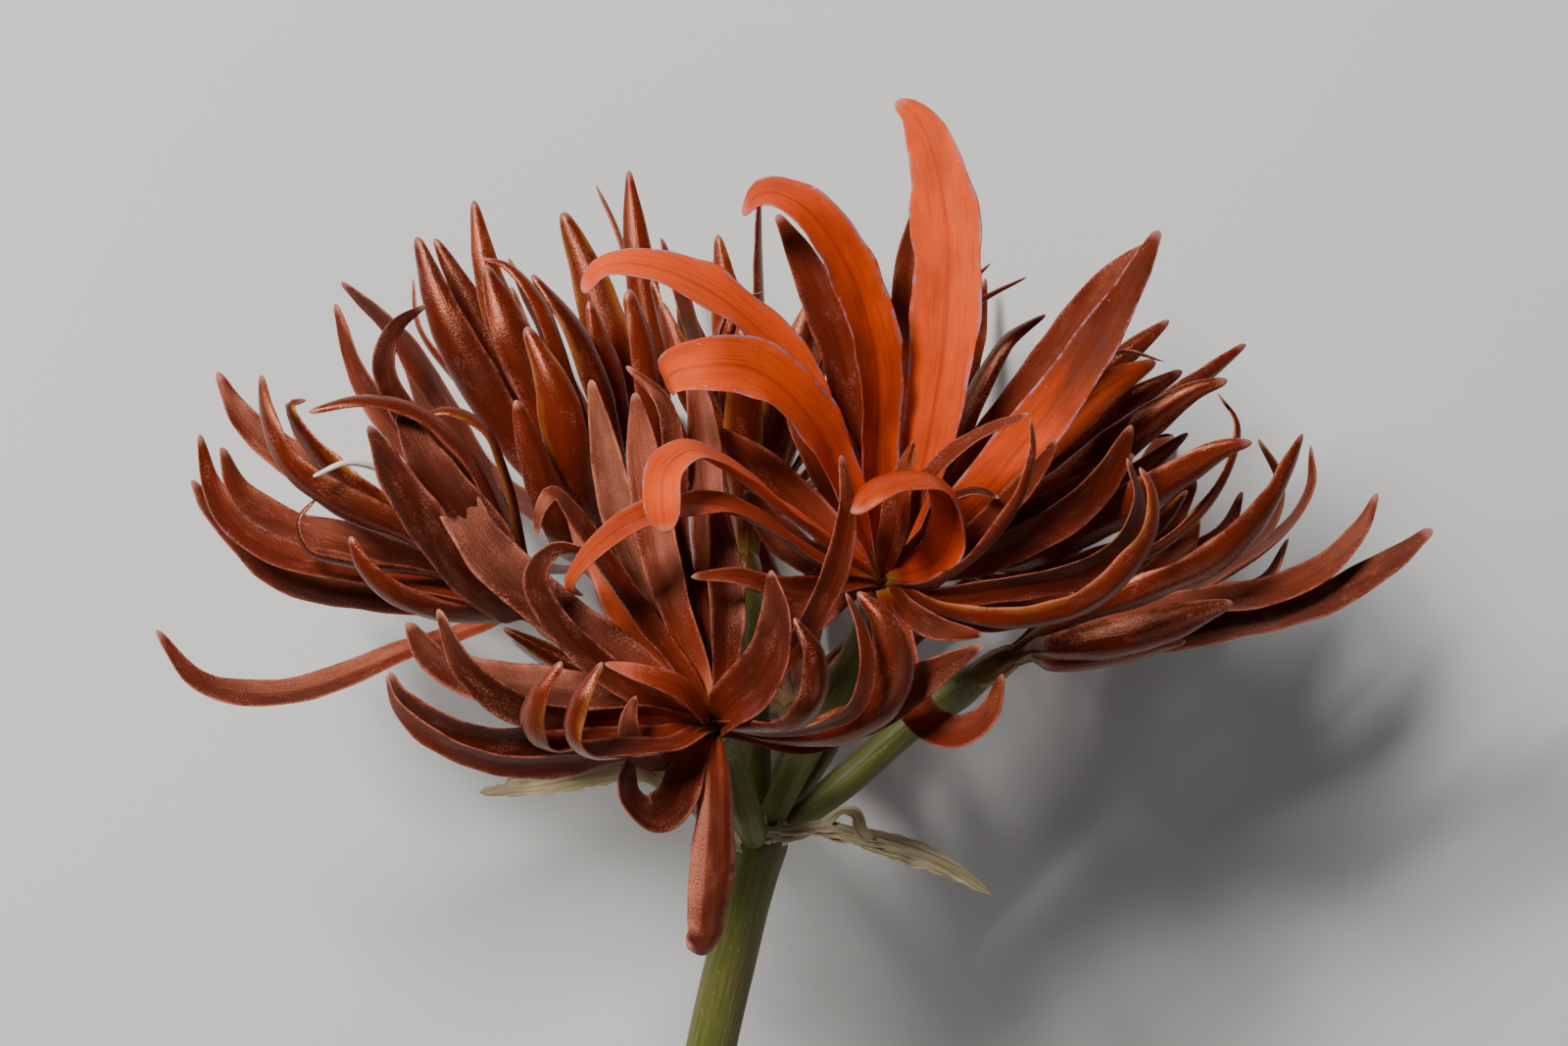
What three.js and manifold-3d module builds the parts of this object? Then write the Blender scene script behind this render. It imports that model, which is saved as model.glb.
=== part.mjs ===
// A red spider lily: one cut flower stem, laid on its side. A green scape carries an umbel of eight
// double flowers, each on its own pedicel, with two dried spathe bracts below them.
// Millimetres. X to the right, Y along the flower's height, Z up from the surface it lies on.

import * as THREE from "three";
import { mergeVertices } from "three/addons/utils/BufferGeometryUtils.js";
import Module from "manifold-3d";

const wasm = await Module();
wasm.setup();

// The flower is described from the top of the scape, where the pedicels spring. Points are given as
// they look from an eye straight above: the nearer a point is to the eye, the wider it seems.
const EYE_HEIGHT = 784.3;
const EYE_X = 1.8;
const EYE_Y = 36.6;
const SURFACE_Z = -52;
const SCAPE_TOP = [-3.18, 75.6, -SURFACE_Z];

const SMALLEST_EDGE = 0.1;
const SCAPE_RADIUS = 3.05;
const SCAPE_SIDES = 12;
const NODE_RADIUS = 3.35;
const NODE_CENTRE = [-1.3, -2.2, 0];
const PEDICEL_SIDES = 8;
const PEDICEL_STEPS = 7;
const PEDICEL_BASE_RADIUS = 1.45;
const PEDICEL_RADIUS = 2.05;
const OVARY_RADIUS = 2.4;
const NECK_RADIUS = 1.7;
const SEAT_GAP = 0.35;
const TUBE_LENGTH = 4.6;
const TUBE_RADIUS = 2.3;
const TUBE_SIDES = 8;
const TEPAL_THICKNESS = 0.76;
const BRACT_THICKNESS = 0.7;
const BRACT_STEPS = 8;
const FILAMENT_RADIUS = 0.5;
const FILAMENT_STEPS = 12;
const FILAMENT_SIDES = 6;

// A tepal's width at its claw and at its tip, as shares of its greatest width, the share of its length
// where it is widest, and how far its edges stand up, as a share of half its width.
const PROFILE = { claw: 0.36, wide: 0.6, tip: 0.16, channel: 0.34 };
const FLAT_BELOW = 5.1;
const STEPS_PER_BEND = 2.1;

// How far tepals of two flowers are bent clear of each other.
const ROUNDS = 110;
const STATIONS = 11;
const CLEARANCE = 0.75;
const SIDEWAYS_GIVE = 0.35;
const KIN_NEAR = 9;
const KIN_CLEARANCE = 0.2;

// Each bloom has its throat, the way it faces, and its tepals. A tepal is its greatest width, then the
// points that its midrib passes from the throat to the tip, and last how it is turned or channelled.
const BLOOMS = {
  front: {
    throat: [-6.8, 12.3, 26],
    facing: [-0.08, 0.2, 0.98],
    tepals: [
      [5.6, [-7.2, 8, 30], [-7.6, 0, 33], [-8.1, -8, 33.5], [-8.6, -12.6, 33], [-10.2, -14.2, 35.5], { face: [0.25, 0.1, 1], tip: 0.55 }],
      [5.4, [-9, 7.4, 30], [-10.8, 2.8, 33], [-13.4, 1.4, 35], [-16.2, 4, 36], [-16.2, 8.8, 35.5], { face: [0.3, 0.3, 0.9], claw: 0.5 }],
      [3.4, [-10, 10.5, 30], [-13.5, 8.5, 33], [-16.5, 9.8, 35], [-17.1, 13, 35.5], [-16.2, 16, 35], { claw: 0.5 }],
      [5.4, [-14, 12.6, 27], [-24, 11.2, 29], [-33, 10.6, 30], [-39.6, 12.6, 30], [-43.8, 15.8, 29], [-45.6, 18.8, 28]],
      [4.6, [-14, 10.2, 30], [-23, 8.5, 33], [-32, 8.2, 34.5], [-39.4, 10.8, 34.5], [-44.4, 14.6, 33.5], [-46, 18.4, 32.5]],
      [4.6, [-14, 13.8, 31], [-23, 13.2, 34], [-30, 14.6, 36], [-36, 19, 37], [-39.7, 26.3, 36]],
      [6.4, [-16, 15.5, 24], [-27, 16.6, 23], [-35.6, 17.8, 22], [-40.6, 20.6, 21], [-43.6, 25, 20], { face: [0.3, 0.5, 0.8] }],
      [4.6, [-13, 10.6, 32], [-20, 10, 34.5], [-26.4, 9.2, 36.5], [-28.6, 11, 40], [-27.8, 15.2, 43], [-24.8, 19.8, 43.5], { face: [0, 0.87, 0.5], tip: 0.2 }],
      [4.6, [-12, 9.8, 35], [-17.2, 9.2, 38.5], [-22, 9, 41], [-24.1, 11, 44.2], [-23.1, 15.4, 46.4], [-20.1, 20, 46.4], { face: [0, 0.87, 0.5] }],
      [2.8, [-8.5, 14.3, 32], [-11, 17, 36], [-15.5, 18.6, 37.5], [-19.8, 19.8, 37], { claw: 0.6 }],
      [4.2, [-12, 14.5, 30], [-20, 19.6, 32], [-26.2, 25.8, 34], [-28, 30.3, 35], [-25.5, 33.6, 36], [-21, 33.2, 37], { wide: 0.4, tip: 0.14 }],
      [4.6, [-9.5, 17, 28], [-15, 24.4, 27], [-20.5, 32.4, 27.5], [-24, 38, 28.5], [-26, 40.2, 29], [-27.6, 38, 29.5], [-28, 35, 29.5], { tip: 0.1, wide: 0.45 }],
      [5.0, [-8.5, 18, 26], [-12, 27, 26], [-14.5, 37, 24], [-15.5, 45, 22], [-16.2, 52.5, 19]],
      [5.4, [-10.4, 18, 25], [-14.6, 24.4, 25], [-18.6, 30.2, 25], [-21.8, 34.4, 24]],
      [4.6, [-5.6, 18, 27], [-5.2, 25, 28], [-5.6, 33, 27], [-6.8, 39.6, 25]],
      [4.4, [-7.5, 18, 24], [-8, 28, 23], [-8.6, 40, 21], [-9.2, 50, 18], [-10.8, 58, 16]],
      [4.6, [-9.5, 18, 24], [-14, 28, 22], [-18, 38, 20], [-20, 47, 17], [-21.4, 53.8, 15]],
      [7.0, [-4.5, 14.8, 32], [-0.6, 18.4, 36], [1.2, 24, 38.5], [0.2, 31, 38.5], { face: [-0.55, 0, 0.83], claw: 0.5, wide: 0.5 }],
      [2.6, [-2, 11.8, 31], [5, 12.2, 35.5], [10, 14.4, 38], [11.6, 19, 39.5], [11, 24, 39.5], [9.2, 28.3, 38.5]],
      [5.4, [0, 11, 29], [8, 11.5, 32], [13.6, 14.8, 34.5], [15, 20, 36], [13.6, 25, 36], [10.6, 28.4, 35], { face: [-0.6, 0.1, -0.8], claw: 0.5 }],
      [4.0, [-1.5, 12, 34], [3, 12.3, 39], [5.4, 15.6, 42.6], [5.4, 21, 43.6], [3, 25.3, 43], { face: [-0.6, 0.1, -0.8], claw: 0.5 }],
      [4.8, [4, 11, 27], [12, 13.8, 29], [19.5, 18.6, 31], [25.6, 22, 31.5], { claw: 0.5 }],
      [4.0, [-3, 15.5, 29], [3, 22.5, 30], [7.5, 31, 29], [9, 39, 27], [8.4, 45, 25]],
      [3.2, [-8, 20, 22], [-11, 34, 22], [-11.2, 43, 22.5], [-12.7, 51, 22], [-17.1, 55.2, 20]],
      [6.2, [-13, 17.6, 28], [-21.8, 23.8, 28], [-27.6, 28.2, 28], [-33.5, 33.6, 27.5], [-37.4, 39.2, 26.5], { tip: 0.86, channel: 0.2, wide: 0.55, face: [0.3, 0.2, 0.93] }],
      [5.0, [-12, 22, 20], [-17, 28, 18], [-21, 33, 16], [-24, 38, 14]],
    ],
  },
  centre: {
    throat: [13.7, 29.5, 12],
    facing: [0.1, 0.45, 0.88],
    tepals: [
      [8.6, [18.2, 42, 15], [20.9, 57, 17], [21.4, 69, 16], [19.9, 79.4, 13], [17.6, 85, 11], [15.2, 87, 9], { face: [-0.15, 0, 1], channel: 0.2, wide: 0.62 }],
      [7.6, [12.8, 42, 17], [12.8, 55, 21], [9.8, 66, 24], [4.2, 74.2, 25], [-0.6, 76, 24], [-3.2, 73.6, 22.5], { face: [0.45, 0.35, 0.85], tip: 0.4 }],
      [5.8, [11, 42, 13], [8, 57, 15], [3.2, 69, 15.5], [0.8, 73.6, 14]],
      [7.2, [9.5, 43, 15], [3, 56, 19], [-5.5, 64, 23], [-14, 67.6, 25], [-19.6, 67.4, 25], [-22.2, 64.4, 24], { face: [0.4, 0.6, 0.7], tip: 0.3 }],
      [8.2, [9.8, 40, 19], [5.5, 49.3, 25], [-1, 55, 30], [-7, 55.6, 33], [-11.3, 54.6, 32], [-11.6, 52.6, 29.5], { face: [0.35, 0.5, 0.8], tip: 0.5 }],
      [5.2, [7.5, 34, 19], [1, 38.8, 25], [-5, 43.2, 30], [-9.6, 45.2, 34], [-12.6, 42.8, 37], [-12.9, 39, 38.5], [-12.4, 35.6, 38], { tip: 0.75 }],
      [4.6, [6.5, 31.5, 20], [0, 35.8, 26], [-6, 38.4, 31], [-12, 37.9, 35], [-18, 35.6, 37.5], [-22.3, 31.8, 38.5], [-24, 29, 38], [-22.4, 27.8, 36.5]],
      [3.2, [7, 29, 20], [1.5, 28.7, 28], [-4, 30.2, 32], [-9.4, 30.2, 34]],
      [4.6, [20, 28.6, 19], [30, 30, 23], [38, 31.8, 24], [42.3, 35, 23.5], [44, 39.5, 22], [43, 44.8, 20]],
      [4.6, [19, 26.5, 19], [27, 24.4, 23], [36, 25.6, 25.5], [42, 29.6, 25.5], [45.8, 35.5, 24.5], [45.8, 40.5, 23], [44.3, 43, 22]],
      [7.2, [17.4, 30, 17], [20.4, 31.6, 20], [22, 35.4, 23.5], [20.6, 39.8, 27], [16.6, 41.4, 30], [12.4, 40.4, 32], [9.8, 37.4, 33], { face: [-0.75, -0.45, 0.35], tip: 0.7, claw: 0.5 }],
      [6.8, [24.4, 37, 14], [32.8, 46, 16], [38.9, 54.6, 16], [43.8, 63.4, 14.5], [47, 71.2, 12], { face: [-0.2, 0.1, 1], channel: 0.2, wide: 0.36, claw: 0.5 }],
      [6.0, [22, 39, 9], [30.6, 50.4, 9], [36.5, 58.5, 9], [41, 65.5, 9.5], [45.5, 70, 10]],
      [2.6, [16.5, 35, 20], [20, 42.3, 25], [25, 46.5, 27], [31.3, 49.5, 26.5]],
      [2.8, [20, 31, 20], [26, 35.5, 25], [30, 41, 28], [31.6, 46, 28.5], [31.4, 49.8, 28], { face: [-0.75, 0.3, -0.6] }],
      [2.4, [19.5, 36.4, 18], [22.5, 39.6, 20.5], [25, 40.4, 22], [27.6, 39.6, 22.5]],
      [3.4, [22, 34, 15], [28, 39, 19], [32.5, 44, 20], [34.3, 46.8, 20]],
      [3.6, [15.5, 36, 21], [16.5, 42, 23], [17.8, 46.6, 23]],
      [6.2, [24, 36, 8], [33, 45, 8], [40, 51.5, 6], [46.5, 55.8, 4]],
      [5.4, [9, 34, 14], [4, 38.6, 14], [-1.6, 43.4, 14], [-7, 48.4, 13]],
      [6.4, [10, 29.6, 14], [6.6, 28, 15], [4, 25, 15], [2.8, 21, 14], { face: [0.6, 0.4, 0.7] }],
      [5.4, [22, 33, 13], [32, 38, 15], [39, 43, 15], [43.2, 49, 13.5]],
      [5.0, [15.5, 22.5, 19], [16.4, 17, 22], [18.9, 12.6, 25], [22.6, 11.2, 26.5], [26.2, 13.4, 27], [28, 18.6, 26.5], { claw: 0.5 }],
      [4.6, [15.3, 41, 9], [16.4, 56, 8], [16.6, 67, 8], [17.8, 75.2, 9]],
      [3.2, [17, 26.2, 18], [20.5, 24.2, 21], [25.8, 23.4, 23]],
      [4.0, [12, 42, 7], [12.8, 56, 6], [11.8, 69, 6]],
      [5.0, [19, 27, 10], [25, 25.4, 8.5], [31, 25.8, 7.5], [37, 28, 6.5]],
      [4.4, [8.5, 30.5, 12], [4.5, 32.6, 11], [0.5, 36, 10], [-3, 40.6, 9]],
      [6.0, [22, 32, 9], [31, 35, 8], [39, 39, 6], [45, 44, 4]],
      [5.0, [10, 37, 9], [6, 45, 6], [3, 53, 4], [0, 60, 2]],
    ],
  },
  left: {
    throat: [-28, 26, 4],
    facing: [-0.75, 0.6, 0.25],
    tepals: [
      [4.0, [-35, 24, 4], [-43, 21.4, 4], [-50, 18.5, 4], [-56.5, 16.4, 4], [-63, 16, 4], [-69, 18, 4], [-73.6, 23.8, 3], { face: [0.1, 0.6, 0.8] }],
      [4.4, [-36, 28, 6], [-48, 30.5, 8], [-58, 32.5, 9], [-64, 36, 9], [-67, 41, 8], [-68.4, 47.3, 7], { face: [0.3, 0.55, 0.8] }],
      [5.0, [-36, 27, 0], [-48, 28, 0], [-57, 30, 0], [-62.6, 34, -1], [-66.8, 38.4, -2], [-69.2, 42, -3], { face: [0.2, 0.5, 0.85] }],
      [6.2, [-37, 28.5, -1], [-49, 32.5, -4], [-58, 35.6, -6], [-63.6, 39.6, -7], [-65.9, 45.6, -8], { face: [0.1, 0.55, 0.8], wide: 0.5 }],
      [5.0, [-33, 25, 11], [-39, 25.2, 16], [-45, 27.5, 19], [-49, 31.5, 20], [-50.3, 34.9, 20]],
      [5.0, [-34, 31, 12], [-43, 36, 16], [-51, 39.5, 18], [-57, 44, 18], [-59.8, 49.5, 17], [-60.8, 54.6, 15]],
      [5.0, [-36, 32, 4], [-47, 38, 3], [-57, 44, 1], [-63, 49, 0], [-66.3, 54.8, -1]],
      [5.6, [-36, 31.5, 8], [-45, 37, 9], [-52, 42, 8], [-56.3, 47.2, 7], [-57.6, 50.8, 6.5], [-55.6, 51.4, 6]],
      [6.6, [-33, 28, 15], [-39, 34, 20], [-44, 41, 22], [-48, 48.6, 21], { channel: 0.4, face: [0.5, 0.2, 0.8] }],
      [6.4, [-32, 29, 12], [-37, 35.5, 15], [-42, 42, 16], [-45.4, 49.4, 15], { face: [0.3, 0.1, 0.95] }],
      [4.0, [-31, 31, 10], [-34, 39, 14], [-38, 46, 17], [-43.5, 50, 19], [-49.5, 51, 20], [-55.5, 49.8, 20]],
      [3.8, [-29.5, 33, 6], [-31.5, 42, 8], [-34.5, 48.5, 10], [-38.5, 50.3, 11], [-42.5, 49, 11]],
      [3.6, [-32, 34, 2], [-38, 43, 4], [-44, 50, 6], [-46.4, 55.5, 7], [-45, 60, 7], [-41.2, 62.8, 6], { face: [0.65, -0.3, 0.7] }],
      [3.8, [-34, 36, -4], [-43, 46, -6], [-49, 54, -7], [-52.1, 63, -8]],
      [5.0, [-31, 36, 0], [-38, 50, -2], [-45, 60, -3], [-51.4, 65.6, -4]],
      [2.4, [-40, 30.5, 9], [-50, 31.8, 13], [-55.5, 33.5, 14], [-56.6, 37, 14], [-54.3, 39.8, 14]],
      [3.6, [-36, 27, -8], [-45, 29, -18], [-52, 32, -26], [-57, 36.5, -30]],
      [3.6, [-36, 30, -8], [-46, 36, -18], [-54, 43, -25], [-58, 51, -29]],
    ],
  },
  right: {
    throat: [29.4, 20.9, 2],
    facing: [0.82, 0.52, 0.22],
    tepals: [
      [5.8, [34, 21.8, 9], [41, 22.8, 12], [48.5, 24.9, 13], [55.6, 27.3, 13], { channel: 0.5 }],
      [5.4, [36, 20.8, 2], [46, 22.2, 2], [56, 24.3, 2], [66, 27, 2], [74, 31.4, 1], [79.6, 35.9, 0], { tip: 0.26, face: [-0.1, 0.6, 0.8] }],
      [4.4, [38, 24, 5], [50, 26.7, 5], [60, 28.2, 4], [67, 31.5, 3], [71, 36, 2], [73, 40.2, 1], { face: [-0.3, 0.5, 0.8] }],
      [4.8, [36, 25, 10], [44, 28, 12], [53, 32, 12], [59.5, 38.5, 10], [63.9, 47.3, 8]],
      [5.0, [34, 25, -2], [43, 28, -3], [48.5, 32, -4], [51.4, 37.5, -5]],
      [4.8, [34.6, 26, -4], [40, 30, -7], [45.6, 35.6, -10], [51, 42, -12]],
      [3.2, [40, 25, -4], [52, 29, -6], [61, 35, -8], [65, 41, -9], [64.9, 46, -10]],
      [3.2, [38, 25, -8], [50, 30, -12], [59.5, 36.5, -14], [61, 42, -15], [58.5, 47, -16]],
      [4.6, [40, 22.5, -5], [52, 26, -8], [59.5, 29.6, -9], [62.3, 35, -10]],
      [3.6, [38, 26, -10], [48, 31, -15], [55, 35.5, -18], [57, 40.4, -19]],
      [4.8, [34, 19.4, 7], [42, 20.2, 8], [50, 22.5, 8]],
      [3.8, [36, 22, -8], [46, 24, -18], [54, 27, -26], [59, 30, -30]],
      [3.6, [34, 25, -12], [41, 31, -23], [46, 36, -31], [50, 41, -37]],
    ],
  },
  back_left: {
    throat: [-20, 30, -12],
    facing: [-0.4, 0.85, -0.33],
    tepals: [
      [5.8, [-25, 39, -8], [-33, 50, -6], [-39, 61, -6], [-42.4, 71, -8]],
      [4.6, [-23, 41, -13], [-30, 52, -15], [-36.5, 64, -16], [-40.2, 70.8, -17]],
      [4.8, [-22, 42, -11], [-29, 54, -11], [-33.6, 66, -12], [-35.5, 75.4, -14]],
      [6.2, [-21.5, 40, -5], [-26, 50, -1], [-31, 60, 0], [-34, 67.6, -2]],
      [3.4, [-20, 40, 0], [-23.5, 52, 4], [-27, 62, 5], [-31, 67, 4], [-34, 68.2, 3]],
      [4.4, [-17.5, 38, -3], [-19.5, 49, 2], [-23, 58.5, 4], [-28.8, 66, 3]],
      [6.2, [-21.5, 37, 1], [-23.8, 44, 8], [-26, 53, 10], [-29.3, 60, 9], { channel: 0.45, face: [-0.1, 0.2, -1] }],
      [6.2, [-16.6, 41, -9], [-18, 52, -10], [-21, 64, -11], [-24.8, 74, -13], { face: [0.1, 0.1, -1] }],
      [4.6, [-13.6, 44, -15], [-13.8, 58, -18], [-15.4, 70, -19], [-16.4, 78.8, -21], { face: [0.1, 0.1, -1] }],
      [3.2, [-12.5, 46, -19], [-15, 60, -22], [-18, 71, -24], [-20.8, 77.2, -25]],
      [5.8, [-15.4, 39, -3], [-14.6, 48, 3], [-15.4, 57, 5], [-17.3, 64.8, 4], { channel: 0.5, tip: 0.3 }],
      [4.6, [-17.5, 41, -5], [-18.5, 52, -3], [-21.7, 63.3, -3]],
      [5.4, [-22.5, 36, 4], [-26.5, 44, 11], [-30, 52.3, 12], { channel: 0.5, face: [-0.2, 0.2, -1] }],
      [3.2, [-19, 42, -21], [-25, 56, -26], [-31.3, 68.5, -28]],
      [2.6, [-26, 42, -17], [-36, 52, -21], [-42, 60, -22], [-42.8, 66, -23]],
      [4.4, [-26, 36, -24], [-34, 42, -36], [-40, 49, -46], [-43, 56, -53], { foot: true, tip: 0.6 }],
      [4.0, [-20.5, 38, -26], [-24, 48, -36], [-29, 58, -42], [-31, 65, -44]],
      [3.6, [-28, 31, -24], [-38, 33, -34], [-46, 37, -40], [-50, 43, -43]],
    ],
  },
  top: {
    throat: [-2.8, 33, -8],
    facing: [-0.05, 0.95, -0.25],
    tepals: [
      [4.0, [-2, 46, -12], [-1, 58, -14], [-1.2, 70, -15], [-1.3, 77.8, -15]],
      [5.0, [-4, 47, -8], [-5, 58, -8], [-6.3, 71.2, -9], { face: [0.2, 0.1, -1] }],
      [4.6, [-6, 44, -9], [-9.4, 52, -9], [-12, 59, -10], [-14, 66, -11]],
      [4.6, [-5, 44, -3], [-8.6, 51, -1], [-11, 57, -1], [-13, 63.2, -2]],
      [3.6, [-6, 45, -17], [-9, 56, -22], [-10.4, 63, -24], [-8.4, 67.8, -25]],
      [2.0, [-6, 47, -4], [-6.4, 58, -4], [-4, 63, -4], [-0.6, 64.4, -4]],
      [5.4, [0, 45, -6], [2.5, 55, -5], [5.4, 64, -6], { face: [0, 0.1, -1] }],
      [5.0, [-3.4, 42, -2], [-3.4, 49, 1], [-3, 56, 2], [-3.4, 61.6, 1]],
      [4.6, [2, 44, -10], [6, 53, -12], [7.4, 60.8, -13]],
      [3.4, [-6, 46, -14], [-9.5, 58, -18], [-13.6, 71, -20]],
      [3.0, [5, 46, -15], [16, 58, -19], [26.6, 67.8, -21]],
      [3.0, [6, 44, -12], [17, 55, -14], [25, 63, -15], [31, 66.2, -16]],
      [4.0, [-4, 43, -20], [-7, 52, -32], [-10, 61, -40], [-11, 68, -44]],
      [4.0, [1.5, 43, -20], [5, 53, -31], [8, 63, -38], [9, 71, -42]],
      [3.6, [5, 41, -18], [14, 49, -28], [21, 57, -35], [25, 65, -38]],
      [3.4, [-9, 41, -18], [-16, 48, -27], [-21, 58, -33], [-23, 66, -35]],
    ],
  },
  back_right: {
    throat: [19, 30, -15],
    facing: [0.55, 0.72, -0.42],
    tepals: [
      [5.2, [30, 38, -18], [42, 46, -20], [51, 53, -21], [57.2, 58.1, -22]],
      [5.2, [27, 34, -7], [37, 41, 1], [46, 48, 5], [51.5, 52, 6], [55.4, 53.4, 6]],
      [5.0, [27, 36, -10], [37, 44.5, -5], [44, 51, -3], [49.6, 54.8, -3]],
      [5.6, [28, 32, -4], [38, 37, 4], [47, 42.5, 8], [53, 46, 9], [56.7, 47, 9]],
      [2.4, [30, 29, -4], [42, 32, -1], [50, 37, 0], [54.7, 43, 1], [56.2, 49, 1], [53.8, 52.5, 0]],
      [4.4, [26, 40, -17], [35, 50, -19], [43, 57, -20], [48, 61, -21]],
      [2.4, [28, 43, -13], [36, 53, -11], [42, 57.2, -10], [47.5, 56, -10]],
      [4.4, [29, 34, -9], [40, 39.5, -5], [50.3, 47.6, -4]],
      [3.8, [21.5, 44, -8], [25, 53, -6], [28.5, 58.5, -6], [33.2, 61.7, -7]],
      [3.8, [29, 28.5, -10], [40, 31, -6], [47, 35, -5], [50.6, 40, -6]],
      [4.0, [24, 36, -28], [31, 44, -38], [38, 52, -44], [42, 60, -46]],
      [4.4, [28, 32, -26], [37, 36, -38], [44, 41, -47], [48, 47, -53], { foot: true, tip: 0.6 }],
      [3.6, [20, 38, -30], [22, 49, -40], [25, 59, -46], [26, 66, -48]],
    ],
  },
  rear: {
    throat: [3, 14, -27],
    facing: [0.05, 0.35, -0.93],
    tepals: [
      [4.2, [8, 20, -37], [16, 24, -44], [25, 28, -48], [34, 32, -49]],
      [4.0, [-2, 16, -37], [-12, 17, -44], [-22, 19, -48], [-32, 24, -49]],
      [4.4, [4, 20, -37], [6, 30, -45], [9, 41, -49], [11, 51, -49]],
      [4.0, [0, 21, -36], [-5, 31, -44], [-9, 42, -48], [-12, 51, -49]],
      [3.8, [9, 20, -35], [17, 28, -42], [25, 35, -47], [31, 42, -49]],
      [3.8, [-4, 20, -35], [-13, 27, -41], [-22, 34, -46], [-30, 41, -48]],
      [3.6, [12, 22, -34], [22, 27, -38], [32, 31, -41], [40, 36, -43]],
      [3.6, [-3, 15, -34], [-13, 14.5, -38], [-23, 15, -41], [-32, 18, -43]],
      [3.4, [7, 16, -38], [13, 20, -45], [19, 25, -49], [25, 31, -50]],
      [3.4, [-1, 14, -38], [-8, 13, -45], [-15, 13, -49], [-22, 15, -50]],
      [3.2, [3, 18, -40], [2, 23, -47], [0, 30, -50], [-2, 37, -50]],
    ],
  },
};

// The scape's middle line, from its cut end to its top, and the dried bracts and the loose filament.
const SCAPE_LINE = [
  [-46, -238, SURFACE_Z + 3], [-38, -190, -46], [-27, -130, -32], [-15.5, -72, -17], [-6.9, -26, -5.5], [-4.4, -15, -3],
  [-2.3, -6, -0.8], [-1.3, -2.2, 0],
];
const BRACTS = {
  left: [
    [3.4, [-2.2, -3, 1.6], [-4.8, -1.6, 3.6], [-7.8, 1.2, 5.6], [-12, 5, 8], [-17, 7, 9], [-25, 5.6, 9], [-34.8, 4.3, 8]],
  ],
  right: [
    [3.1, [0.2, -1.6, 2.2], [3, -0.5, 4.2], [6.4, -0.2, 5.8], [10, -1.2, 7], [13.4, -2.1, 8], [18.2, -3.4, 8], [22.9, -5.6, 7], [26.7, -8, 6], { claw: 0.4, wide: 0.5 }],
    [1.5, [6.2, 0.1, 5.6], [8.6, 1.9, 7], [10.4, 1.7, 8], [11, -0.2, 8.2], [12.4, -1.6, 8], { claw: 1, tip: 1 }],
  ],
};
const FILAMENT_LINE = [[-30.2, 28.6, 9], [-35.4, 34.4, 11], [-41, 39.6, 13.5], [-46, 42.8, 17.5], [-50.6, 43.9, 20.5], [-54.8, 42.2, 22]];

const vector = (p) => new THREE.Vector3(...p);

// The real place of a point that is given as the eye sees it.
function seen([x, y, z]) {
  const nearer = 1 - z / EYE_HEIGHT;
  return new THREE.Vector3(EYE_X + (x - EYE_X) * nearer, EYE_Y + (y - EYE_Y) * nearer, z);
}

// A smooth line through the points, as a list of close-set points.
function smoothLine(points, perSpan = 10) {
  const last = points.length - 1;
  const gaps = points.slice(1).map((p, i) => Math.sqrt(p.distanceTo(points[i])));
  const slope = (i) => points[i + 1].clone().sub(points[i]).divideScalar(gaps[i]);
  const tangents = points.map((p, i) => {
    if (i === 0) return slope(0);
    if (i === last) return slope(last - 1);
    const before = slope(i - 1).multiplyScalar(gaps[i]);
    return before.add(slope(i).multiplyScalar(gaps[i - 1])).divideScalar(gaps[i - 1] + gaps[i]);
  });
  const line = [points[0].clone()];
  for (let i = 0; i < last; i++)
    for (let k = 1; k <= perSpan; k++) {
      const t = k / perSpan;
      line.push(
        points[i].clone().multiplyScalar(2 * t ** 3 - 3 * t ** 2 + 1)
          .addScaledVector(tangents[i], (t ** 3 - 2 * t ** 2 + t) * gaps[i])
          .addScaledVector(points[i + 1], 3 * t ** 2 - 2 * t ** 3)
          .addScaledVector(tangents[i + 1], (t ** 3 - t ** 2) * gaps[i]),
      );
    }
  return line;
}

// Points at the given shares of a line's length.
function along(line, shares) {
  const reach = [0];
  for (let i = 1; i < line.length; i++) reach.push(reach[i - 1] + line[i].distanceTo(line[i - 1]));
  const length = reach[reach.length - 1];
  return shares.map((share) => {
    const at = Math.min(Math.max(share, 0), 1) * length;
    let i = reach.findIndex((r) => r >= at - 1e-9);
    if (i < 1) i = 1;
    return line[i - 1].clone().lerp(line[i], (at - reach[i - 1]) / (reach[i] - reach[i - 1]));
  });
}

const evenShares = (steps) => Array.from({ length: steps + 1 }, (_, i) => i / steps);

function tangentsOf(points) {
  return points.map((p, i) => {
    const next = points[Math.min(i + 1, points.length - 1)];
    return next.clone().sub(points[Math.max(i - 1, 0)]).normalize();
  });
}

const squareTo = (v, axis) => v.clone().addScaledVector(axis, -v.dot(axis)).normalize();

// Normals that start square to the line at its middle and turn no more than they must towards its ends.
function normalsOf(points, tangents, face) {
  const middle = Math.floor(points.length / 2);
  const normals = [];
  normals[middle] = squareTo(face, tangents[middle]);
  for (let i = middle + 1; i < points.length; i++) normals[i] = squareTo(normals[i - 1], tangents[i]);
  for (let i = middle - 1; i >= 0; i--) normals[i] = squareTo(normals[i + 1], tangents[i]);
  return normals;
}

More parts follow.
